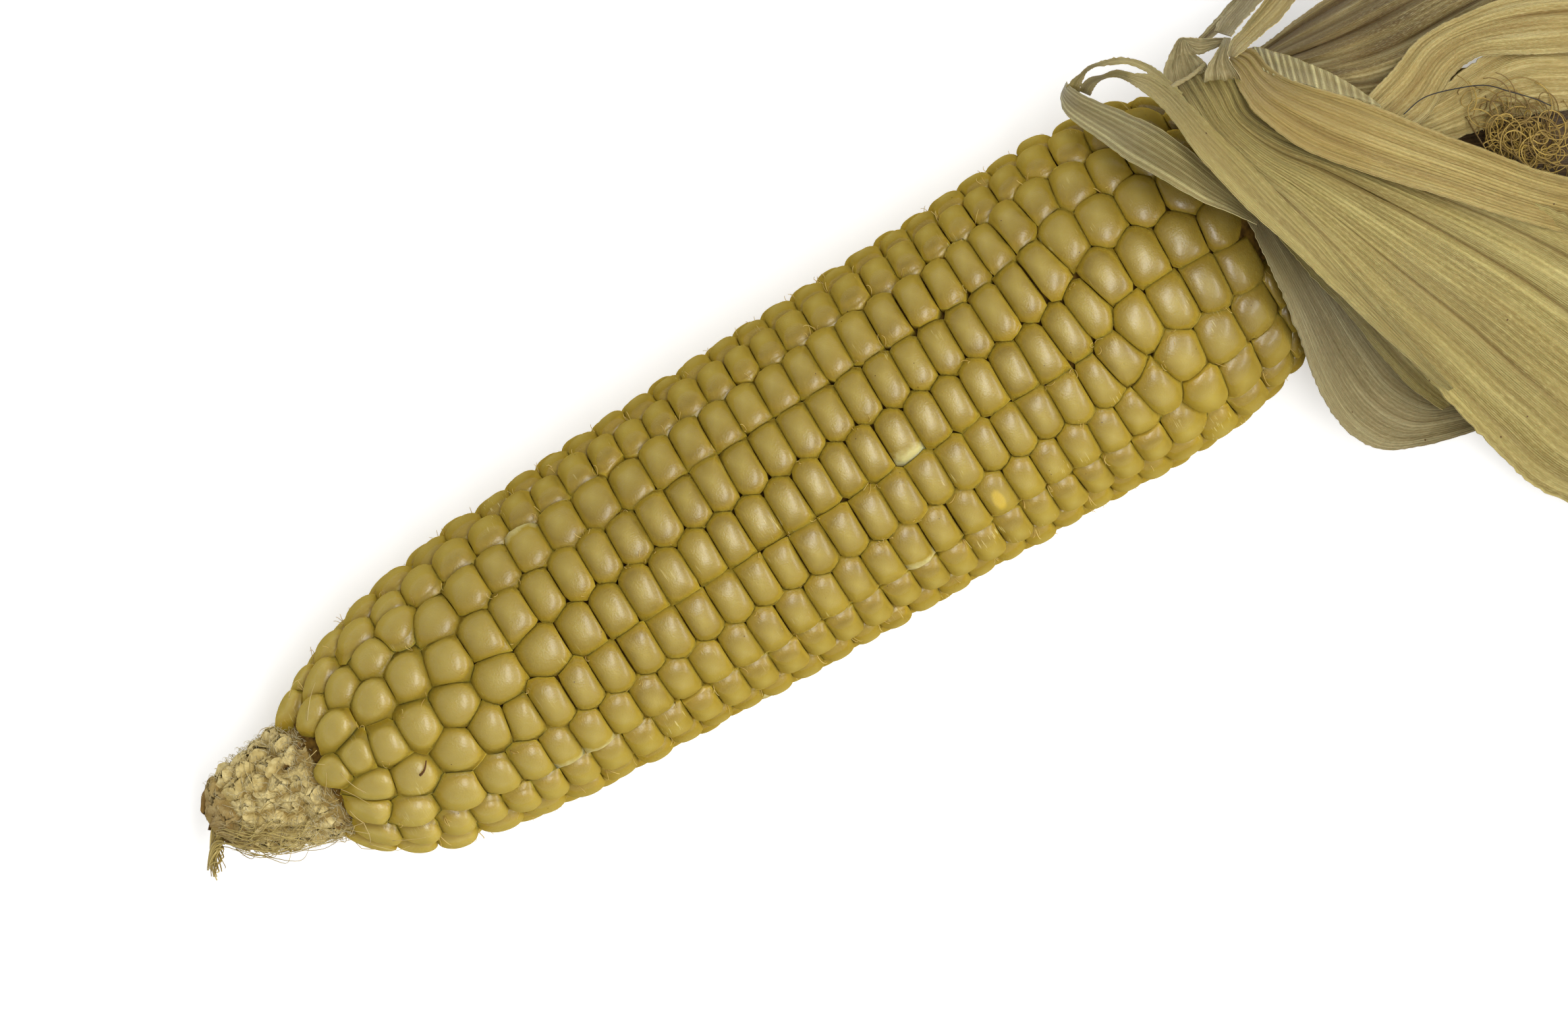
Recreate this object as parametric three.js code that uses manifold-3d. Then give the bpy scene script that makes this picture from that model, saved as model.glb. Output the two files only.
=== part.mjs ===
// An ear of corn as picked: a cob packed with rows of kernels, bare at its tip, with its dry husk
// leaves pulled back round the shank. Millimetres, +Z up, the ear lies along X on its underside.
//
// The ear is drawn straight along X from its tip at 0, then tilted to lie on its lowest crowns. The husk
// is drawn where it lies, with X from the ear's tip too. The part's origin is under the rest point.

import * as THREE from "three";
import { mergeVertices } from "three/addons/utils/BufferGeometryUtils.js";
import Module from "manifold-3d";

const wasm = await Module();
wasm.setup();

// ---- Driving dimensions ----

const TURN = 2 * Math.PI;
const REST_X = 101.4; // from the ear's tip to the rest point
const REST_AXIS_HEIGHT = 24; // of the ear's axis over the rest point
const TILT = THREE.MathUtils.degToRad(2.1); // the tip lies lower, because the ear is slimmer there
const GAP = 0.45; // clear space between the cob and the kernels round it

// [distance from the tip, radius] over the kernels' crowns, and of the cob inside them.
const EAR_PROFILE = [[13, 10], [17, 13], [20, 15.3], [25, 17.8], [30, 19.2], [40, 21], [50, 22.4], [70, 23.4],
  [100, 24.6], [130, 25.2], [150, 26.1], [158, 25.4], [164, 24.2], [168, 22.8], [171, 20.5], [174, 16.5]];
const COB_PROFILE = [[-1.6, 3], [0.5, 5.3], [2, 6.3], [5, 7.5], [10, 8.6], [15, 9.6], [17, 9.9], [30, 11.4],
  [60, 12.8], [120, 14], [166, 13], [171.5, 10.5]];
const TIP_BEND = 2.9; // how far the bare tip leans to +Y
const TIP_BEND_LENGTH = 20;

const ROWS = 18;
const FIRST_ROW_ANGLE = THREE.MathUtils.degToRad(-1.7); // from straight up, towards +Y
const BASE_TWIST = THREE.MathUtils.degToRad(8.7); // how far the rows swing sideways near the shank
const BASE_TWIST_SPAN = [138, 149];
const TIP_RINGS = [[17.4, 12], [22.8, 15], [28.9, 17]]; // [distance from the tip, kernels round it]
const TIP_RING_SPACING = 5;
const ROWS_START = 35;
const ROW_STAGGER = 0.5; // every other row starts this share of a kernel further on
const ROW_START_SCATTER = 0.12;
const KERNELS_END = 169.3; // no kernel's middle lies further on
const KERNEL_PITCH = [[34, 6.6], [46, 6.2], [56, 5.3], [70, 4.95], [140, 4.75], [149, 5.9], [180, 5.9]];
const KERNEL_LOOSENESS = [[35, 1.3], [55, 0.5], [140, 0.5], [150, 1.1]]; // how unevenly the kernels sit
const TIP_LOOSENESS = 1.7;
const EDGE_LOOSENESS = 0.2;
const KERNEL_STRAY_ANGLE = 0.045; // off its place round the ear, for a looseness of 1
const KERNEL_STRAY_ALONG = 0.9;
const KERNEL_STRAY_PROUD = 0.5;
const KERNEL_VALLEY = 2.3; // depth of the grooves between kernels
const KERNEL_SHOULDER = 0.75; // how far a kernel's shoulder lies under its crown
const KERNEL_SHOULDER_SHARE = 0.78; // of the way from a kernel's middle to its edge
const KERNEL_UNROLL_RADIUS = 22; // the mean radius over which the rows are laid out
const KERNEL_BORE_START = 8; // the bore round the cob starts short of the first kernels
const KERNEL_SHORTEST_SIDE = 1.9; // shorter sides of a kernel's outline are drawn together
const KERNEL_ROOT = 1.6; // the outermost kernels slope down to this height over the cob

const SPIKELET_PITCH = 3.5; // the withered spikelets that cover the bare tip
const SPIKELET_RING_SPACING = 3.01;
const SPIKELET_STRAY_AROUND = 0.25; // of a spikelet's width
const SPIKELET_STRAY_ALONG = 0.8;
const SPIKELET_STRAY_PROUD = 0.7;
const SPIKELET_CROWN_DEPTH = 0.4; // of the mean spikelet under the cob's outline
const SPIKELET_VALLEY = 0.9;
const SPIKELET_SHOULDER = 0.3;
const SPIKELET_SHOULDER_SHARE = 0.7;
const SPIKELET_ROOT_SHARE = 0.72; // the outermost spikelets slope down to this share of the cob's radius
const SPIKELET_UNROLL_RADIUS = 7;
const SPIKELET_SHORTEST_SIDE = 0.9;
const SPIKELETS_START = 1;
const SPIKELETS_END = 15.5;

const SHANK_PROFILE = [[172, 9.4], [175, 9.2], [176, 8.4], [180, 7.8], [181, 8.3], [182, 7.6], [189, 7.2],
  [190, 7.7], [191, 7.1], [197, 6.8]];

const HUSK_THICKNESS = 0.7;
const HUSK_STEP = 1.3; // how far each leaf lies outside the one under it, up and sideways
const HUSK_LIFT = 1; // and how much more it lies above it
const PLEAT_DEPTH = 0.3;
const PLEAT_SLOPE = 0.2; // the narrower the pleats, the shallower
const EDGE_REACH = 4; // the higher, the narrower the margin that a leaf's ragged edge moves
const SILK_RADIUS = 0.32;
const SILK_SIDES = 4;
const TUFT_ROOT = [-3.4, 3.5, 0]; // where the silk at the ear's tip comes together, from the tip
const TUFT_LENGTH = 3.6;
const TUFT_DROP = 4.4;
const TUFT_TWIST = 4; // radians from its root to its end
const TANGLE_ROOT = [210.5, -9.5]; // where the silk in the husk comes together

// The cover that the lowest husk leaf makes over the ear's end and the shank: its height on the crest, and
// how far to each side it falls to half of that, at each distance from the tip.
const COVER_CREST = [[150, 56], [165, 55], [168, 54], [171, 50], [174, 46], [180, 41], [190, 37], [205, 31],
  [225, 23], [250, 14], [280, 8], [330, 4]];
const COVER_HALF_WIDTH = [[150, 29.5], [165, 29], [171, 26.5], [185, 24], [200, 24], [230, 28], [260, 34],
  [330, 40]];
const COVER_EDGE_HEIGHT = 1.2;

// The share of the cover's height that a leaf keeps, at each share of its length.
const UPPER_LEAN = [[0, 1], [1, 1]];
const UNDER_LEAN = [[0, 0.4], [0.25, 0.24], [1, 0.1]];

// ---- Small helpers ----

// A seeded random draw from 0 to 1 (mulberry32).
function seeded(seed) {
  let state = seed;
  return () => {
    state = (state + 0x6d2b79f5) | 0;
    let mixed = Math.imul(state ^ (state >>> 15), 1 | state);
    mixed = (mixed + Math.imul(mixed ^ (mixed >>> 7), 61 | mixed)) ^ mixed;
    return ((mixed ^ (mixed >>> 14)) >>> 0) / 4294967296;
  };
}

// The value at x of a table of [x, value], straight between its points.
function lookup(table, x) {
  const next = table.findIndex(([at]) => at >= x);
  if (next === 0) return table[0][1];
  if (next < 0) return table[table.length - 1][1];
  const [x0, y0] = table[next - 1];
  const [x1, y1] = table[next];
  return y0 + ((y1 - y0) * (x - x0)) / (x1 - x0);
}

// An angle brought into one turn from 0.
const wrapped = (angle) => ((angle % TURN) + TURN) % TURN;

// A point of the ear in its own frame: along its axis, round it from straight up to +Y, and out from it.
function earPoint(along, angle, radius) {
  const bend = TIP_BEND * Math.max(0, 1 - Math.max(along, 0) / TIP_BEND_LENGTH);
  return new THREE.Vector3(along, bend + radius * Math.sin(angle), radius * Math.cos(angle));
}

function geometryOf(corners, faces) {
  const geometry = new THREE.BufferGeometry();
  const places = corners.flatMap((p) => [p.x, p.y, p.z]);
  geometry.setAttribute("position", new THREE.Float32BufferAttribute(places, 3));
  geometry.setIndex(faces.flat());
  return geometry;
}

function solidOf(geometry) {
  const bare = geometry.clone();
  bare.deleteAttribute("normal");
  bare.deleteAttribute("uv");
  const merged = mergeVertices(bare, 1e-3);
  return new wasm.Manifold(new wasm.Mesh({
    numProp: 3,
    vertProperties: new Float32Array(merged.attributes.position.array),
    triVerts: new Uint32Array(merged.index.array),
  }));
}

function geometryOfSolid(solid) {
  const mesh = solid.getMesh();
  const geometry = new THREE.BufferGeometry();
  geometry.setAttribute("position", new THREE.Float32BufferAttribute(mesh.vertProperties, 3));
  geometry.setIndex(Array.from(mesh.triVerts));
  return geometry;
}

// The largest body of a solid, without the loose scraps that a cut can leave.
function mainBody(solid) {
  return solid.decompose().sort((a, b) => b.volume() - a.volume())[0];
}

// A solid of revolution round the ear's own bent axis, from a table of [along, radius].
function bar(profile, sides) {
  const corners = [];
  const faces = [];
  const number = (ring, side) => ring * sides + (side % sides);
  profile.forEach(([along, radius]) => {
    for (let side = 0; side < sides; side += 1) corners.push(earPoint(along, (side * TURN) / sides, radius));
  });
  const start = corners.push(earPoint(profile[0][0], 0, 0)) - 1;
  const end = corners.push(earPoint(profile[profile.length - 1][0], 0, 0)) - 1;
  for (let side = 0; side < sides; side += 1) {
    for (let ring = 0; ring < profile.length - 1; ring += 1) {
      const [a, b] = [number(ring, side), number(ring, side + 1)];
      const [c, d] = [number(ring + 1, side), number(ring + 1, side + 1)];
      faces.push([a, c, b], [b, c, d]);
    }
    faces.push([start, number(0, side), number(0, side + 1)]);
    faces.push([end, number(profile.length - 1, side + 1), number(profile.length - 1, side)]);
  }
  return solidOf(geometryOf(corners, faces));
}

// A thread along a curve through points, as a solid with flat ends.
function strand(points, radius, steps, sides = SILK_SIDES) {
  const curve = new THREE.CatmullRomCurve3(points.map(([x, y, z]) => new THREE.Vector3(x, y, z)));
  const section = new THREE.Shape(Array.from({ length: sides }, (_, side) => {
    const angle = (side * TURN) / sides;
    return new THREE.Vector2(radius * Math.cos(angle), radius * Math.sin(angle));
  }));
  return solidOf(new THREE.ExtrudeGeometry(section, { steps, extrudePath: curve }));
}

const joined = (solids) => mainBody(solids.reduce((whole, solid) => whole.add(solid)));

// ---- Studded skin: what kernels and spikelets have in common ----

// Delaunay triangles of flat points, added one at a time, each as its corners' indices and circle.
function delaunay(points) {
  const far = 1e5;
  const all = [...points, [-far, -far], [far, -far], [0, far]];
  const circled = (a, b, c) => {
    const [ax, ay] = all[a];
    const [bx, by] = [all[b][0] - ax, all[b][1] - ay];
    const [cx, cy] = [all[c][0] - ax, all[c][1] - ay];
    const twice = 2 * (bx * cy - by * cx);
    const x = (cy * (bx * bx + by * by) - by * (cx * cx + cy * cy)) / twice;
    const y = (bx * (cx * cx + cy * cy) - cx * (bx * bx + by * by)) / twice;
    return { corners: [a, b, c], x: x + ax, y: y + ay, reach: x * x + y * y };
  };
  const first = points.length;
  let triangles = [circled(first, first + 1, first + 2)];
  points.forEach(([x, y], index) => {
    const hit = triangles.filter((t) => (t.x - x) ** 2 + (t.y - y) ** 2 < t.reach);
    const edges = hit.flatMap(({ corners: [a, b, c] }) => [[a, b], [b, c], [c, a]]);
    const rim = edges.filter(([a, b]) => !edges.some(([c, d]) => a === d && b === c));
    triangles = triangles.filter((t) => !hit.includes(t));
    rim.forEach(([a, b]) => triangles.push(circled(a, b, index)));
  });
  return triangles.filter((t) => t.corners.every((corner) => corner < first));
}

// The cells round seeds on the unrolled ear. A seed is {angle, along, ghost}; a ghost only bounds its
// neighbours. Corners closer than shortest are drawn together, and a corner knows if a ghost's cell meets it.
function cellsOf(seeds, unrollRadius, shortest) {
  const reach = 1.5; // radians past the seam over which the seeds are repeated
  const copyAt = (seed, angle) => ({ ...seed, angle, ghost: true, copyOf: seed });
  const copies = seeds.flatMap((seed) => [
    ...(seed.angle > TURN - reach ? [copyAt(seed, seed.angle - TURN)] : []),
    ...(seed.angle < reach ? [copyAt(seed, seed.angle + TURN)] : []),
  ]);
  const all = [...seeds, ...copies];
  const corners = new Map();
  const cells = seeds.map((seed) => ({ seed, corners: [] }));
  delaunay(all.map((s) => [s.angle * unrollRadius, s.along])).forEach((t) => {
    const across = t.x / unrollRadius;
    const key = `${Math.round(wrapped(across) * 1e5)} ${Math.round(t.y * 1e4)}`;
    if (!corners.has(key)) corners.set(key, { angle: across, along: t.y, edge: false });
    const corner = corners.get(key);
    t.corners.forEach((index) => {
      const { ghost, copyOf } = all[index];
      if (copyOf ? copyOf.ghost : ghost) corner.edge = true;
      if (index < seeds.length) cells[index].corners.push({ corner, angle: across });
    });
  });
  const kept = cells.filter(({ seed }) => !seed.ghost);
  const middle = (corner) => {
    let end = corner;
    while (end.joined) end = end.joined;
    return end;
  };
  kept.forEach(({ seed, corners: ring }) => {
    const bearing = ({ corner, angle }) =>
      Math.atan2(corner.along - seed.along, (angle - seed.angle) * unrollRadius);
    ring.sort((a, b) => bearing(a) - bearing(b));
    ring.forEach((here, i) => {
      const [a, b] = [here, ring[(i + 1) % ring.length]];
      const [p, q] = [middle(a.corner), middle(b.corner)];
      const apart = Math.hypot(p.along - q.along, (a.angle - b.angle) * unrollRadius);
      if (p !== q && apart < shortest) {
        q.joined = p;
        p.edge = p.edge || q.edge;
      }
    });
  });
  return kept.map(({ seed, corners: ring }) => {
    const seen = new Set();
    const outline = ring.map(({ corner }) => middle(corner)).filter((c) => !seen.has(c) && seen.add(c));
    return { seed, outline };
  });
}

// A closed solid whose skin has one stud for each cell, closed by a fan to the axis at both ends.
function studded(cells, { crown, valley, edgeRadius, shoulder, shoulderShare }) {
  const corners = [];
  const faces = [];
  const numbers = new Map();
  const add = (along, angle, radius) => corners.push(earPoint(along, angle, radius)) - 1;
  const cornerNumber = (c) => {
    if (!numbers.has(c)) {
      const radius = c.edge ? edgeRadius(c.along) : crown(c.along) - valley;
      numbers.set(c, add(c.along, c.angle, radius));
    }
    return numbers.get(c);
  };
  const open = new Map();
  cells.forEach(({ seed, outline }) => {
    const low = outline.map(cornerNumber);
    const high = outline.map((c) => {
      const apart = wrapped(c.angle - seed.angle + Math.PI) - Math.PI;
      const angle = seed.angle + apart * shoulderShare;
      const along = seed.along + (c.along - seed.along) * shoulderShare;
      return add(along, angle, crown(along) + seed.proud - shoulder);
    });
    const top = add(seed.along, seed.angle, crown(seed.along) + seed.proud);
    outline.forEach((_, i) => {
      const j = (i + 1) % outline.length;
      faces.push([low[i], high[j], low[j]], [low[i], high[i], high[j]], [high[i], top, high[j]]);
      const back = `${low[j]} ${low[i]}`;
      if (open.has(back)) open.delete(back);
      else open.set(`${low[i]} ${low[j]}`, [low[i], low[j]]);
    });
  });
  // What is left open is the rim at each end.
  const span = cells.map(({ seed }) => seed.along);
  const halfway = (Math.min(...span) + Math.max(...span)) / 2;
  [(x) => x < halfway, (x) => x >= halfway].forEach((isHere) => {
    const rim = [...open.values()].filter(([a]) => isHere(corners[a].x));
    const reach = rim.reduce((sum, [a]) => sum + corners[a].x, 0) / rim.length;
    const hub = add(reach, 0, 0);
    rim.forEach(([a, b]) => faces.push([a, b, hub]));
  });
  return solidOf(geometryOf(corners, faces));
}

// ---- Kernels ----

function kernelSeeds() {
  const draw = seeded(11);
  const seeds = [];
  const place = (along, angle, loose, ghost) => {
    const twist = BASE_TWIST * THREE.MathUtils.smoothstep(along, ...BASE_TWIST_SPAN);
    seeds.push({
      angle: wrapped(angle + twist + KERNEL_STRAY_ANGLE * loose * (draw() - 0.5)),
      along: along + KERNEL_STRAY_ALONG * loose * (draw() - 0.5),
      proud: KERNEL_STRAY_PROUD * (draw() - 0.5),
      ghost,
    });
  };
  const [[firstRing, firstCount]] = TIP_RINGS;
  for (let i = 0; i < firstCount; i += 1) {
    place(firstRing - TIP_RING_SPACING, (i * TURN) / firstCount, EDGE_LOOSENESS, true);
  }
  TIP_RINGS.forEach(([along, count], ring) => {
    for (let i = 0; i < count; i += 1) {
      place(along, ((i + ROW_STAGGER * ring) * TURN) / count, TIP_LOOSENESS, false);
    }
  });
  const firstPitch = lookup(KERNEL_PITCH, ROWS_START);
  for (let row = 0; row < ROWS; row += 1) {
    const rowAngle = FIRST_ROW_ANGLE + (row * TURN) / ROWS;
    const start = (row % 2) * ROW_STAGGER + ROW_START_SCATTER * (draw() - 0.5);
    let along = ROWS_START + firstPitch * start;
    while (along < KERNELS_END) {
      place(along, rowAngle, lookup(KERNEL_LOOSENESS, along), false);
      along += lookup(KERNEL_PITCH, along);
    }
    place(along, rowAngle, EDGE_LOOSENESS, true);
  }
  return seeds;
}

function kernels() {
  const skin = studded(cellsOf(kernelSeeds(), KERNEL_UNROLL_RADIUS, KERNEL_SHORTEST_SIDE), {
    crown: (along) => lookup(EAR_PROFILE, along),
    valley: KERNEL_VALLEY,
    edgeRadius: (along) => lookup(COB_PROFILE, along) + KERNEL_ROOT,
    shoulder: KERNEL_SHOULDER,
    shoulderShare: KERNEL_SHOULDER_SHARE,
  });
  const start = [KERNEL_BORE_START, lookup(COB_PROFILE, KERNEL_BORE_START)];
  const inside = COB_PROFILE.filter(([along]) => along > KERNEL_BORE_START);
  const [lastAlong, lastRadius] = inside[inside.length - 1];
  const end = [lastAlong + 15, lastRadius];
  const bore = bar([start, ...inside, end].map(([along, radius]) => [along, radius + GAP]), 24);
  // Where it lies, the ear's lowest crowns are pressed flat.
  const floor = [Math.sin(TILT), 0, Math.cos(TILT)];
  const floorOffset = REST_X * Math.sin(TILT) - REST_AXIS_HEIGHT;
  return mainBody(skin.subtract(bore).trimByPlane(floor, floorOffset));
}

// ---- Cob and shank ----

function spikeletSeeds() {
  const draw = seeded(5);
  const seeds = [];
  const ring = (along, ghost) => {
    const count = Math.max(5, Math.round((TURN * lookup(COB_PROFILE, along)) / SPIKELET_PITCH));
    const start = draw() * TURN;
    for (let i = 0; i < count; i += 1) {
      seeds.push({
        angle: wrapped(start + ((i + SPIKELET_STRAY_AROUND * draw()) * TURN) / count),
        along: along + SPIKELET_STRAY_ALONG * (draw() - 0.5),
        proud: SPIKELET_STRAY_PROUD * (draw() - 0.5),
        ghost,
      });
    }
  };
  ring(SPIKELETS_START - SPIKELET_PITCH, true);
  for (let along = SPIKELETS_START; along < SPIKELETS_END; along += SPIKELET_RING_SPACING) ring(along, false);
  ring(SPIKELETS_END + SPIKELET_PITCH, true);
  return seeds;
}

function cob() {
  const skin = studded(cellsOf(spikeletSeeds(), SPIKELET_UNROLL_RADIUS, SPIKELET_SHORTEST_SIDE), {
    crown: (along) => lookup(COB_PROFILE, along) - SPIKELET_CROWN_DEPTH,
    valley: SPIKELET_VALLEY,
    edgeRadius: (along) => lookup(COB_PROFILE, along) * SPIKELET_ROOT_SHARE,
    shoulder: SPIKELET_SHOULDER,
    shoulderShare: SPIKELET_SHOULDER_SHARE,
  });
  // The core starts inside the bare tip, clear of its skin.
  const root = [[10, 5], [13, 6.8]];
  const core = bar([...root, ...COB_PROFILE.filter(([along]) => along > 15)], 14);
  return mainBody(skin.add(core));
}

// ---- Husk ----

// The height of a husk leaf over a place, for its level in the pile: 0 for the lowest of the upper leaves.
function coverHeight(x, y, level) {
  const crest = lookup(COVER_CREST, x) + HUSK_STEP * level;
  const halfWidth = lookup(COVER_HALF_WIDTH, x) + HUSK_STEP * level;
  return COVER_EDGE_HEIGHT + HUSK_LIFT * level + crest / (1 + (Math.abs(y) / halfWidth) ** 3);
}

// A thin solid round a grid of points, half its thickness to each side, split alike on both faces.
function sheet(grid, thickness) {
  const rows = grid.length;
  const columns = grid[0].length;
  const clampRow = (i) => grid[THREE.MathUtils.clamp(i, 0, rows - 1)];
  const pick = (i, j) => clampRow(i)[THREE.MathUtils.clamp(j, 0, columns - 1)];
  const corners = [];
  [0.5, -0.5].forEach((side) => grid.forEach((line, i) => line.forEach((point, j) => {
    const along = pick(i + 1, j).clone().sub(pick(i - 1, j));
    const across = pick(i, j + 1).clone().sub(pick(i, j - 1));
    corners.push(along.cross(across).normalize().multiplyScalar(side * thickness).add(point));
  })));
  const front = (i, j) => i * columns + j;
  const back = (i, j) => rows * columns + front(i, j);
  const faces = [];
  const wall = (i0, j0, i1, j1) =>
    faces.push([front(i0, j0), back(i0, j0), front(i1, j1)], [front(i1, j1), back(i0, j0), back(i1, j1)]);
  for (let i = 0; i < rows - 1; i += 1) {
    for (let j = 0; j < columns - 1; j += 1) {
      faces.push([front(i, j), front(i + 1, j), front(i, j + 1)]);
      faces.push([front(i + 1, j), front(i + 1, j + 1), front(i, j + 1)]);
      faces.push([back(i, j), back(i, j + 1), back(i + 1, j)]);
      faces.push([back(i + 1, j), back(i, j + 1), back(i + 1, j + 1)]);
    }
    wall(i, 0, i + 1, 0);
    wall(i + 1, columns - 1, i, columns - 1);
  }
  for (let j = 0; j < columns - 1; j += 1) {
    wall(rows - 1, j, rows - 1, j + 1);
    wall(0, j + 1, 0, j);
  }
  return geometryOf(corners, faces);
}

// A husk leaf from its root to its tip. Each station is [x, y] of one edge, [x, y] of the other, and its
// level. pleats is how many folds run along it, and ragged how far its edges wander.
function leaf({ stations, steps, pleats, seed, ragged = 0.25, lean = UPPER_LEAN }) {
  const draw = seeded(seed);
  const edge = (xAt, yAt) => {
    const points = stations.map((station) => new THREE.Vector3(station[xAt], station[yAt], 0));
    return new THREE.CatmullRomCurve3(points);
  };
  const [one, other] = [edge(0, 1), edge(2, 3)];
  const levels = stations.map((station, i) => [i / (stations.length - 1), station[4]]);
  const grid = [];
  for (let i = 0; i <= steps; i += 1) {
    const share = i / steps;
    const level = lookup(levels, share);
    const [near, far] = [one.getPoint(share), other.getPoint(share)];
    const columns = 2 * pleats;
    const spacing = near.distanceTo(far) / columns;
    const fold = Math.min(PLEAT_DEPTH, PLEAT_SLOPE * spacing);
    const [wanderNear, wanderFar] = [ragged * (draw() - 0.5), ragged * (draw() - 0.5)];
    grid.push(Array.from({ length: columns + 1 }, (_, j) => {
      const across = j / columns;
      const wander = wanderNear * (1 - across) ** EDGE_REACH + wanderFar * across ** EDGE_REACH;
      const shift = wander / Math.max(spacing * columns, 1);
      const place = near.clone().lerp(far, across + shift);
      const cover = coverHeight(place.x, place.y, level) - COVER_EDGE_HEIGHT;
      const height = COVER_EDGE_HEIGHT + lookup(lean, share) * cover;
      return place.setZ(height + (j % 2 === 0 ? -fold : fold));
    }));
  }
  return sheet(grid, HUSK_THICKNESS);
}

// ---- The leaves, from the lowest to the highest ----

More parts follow.
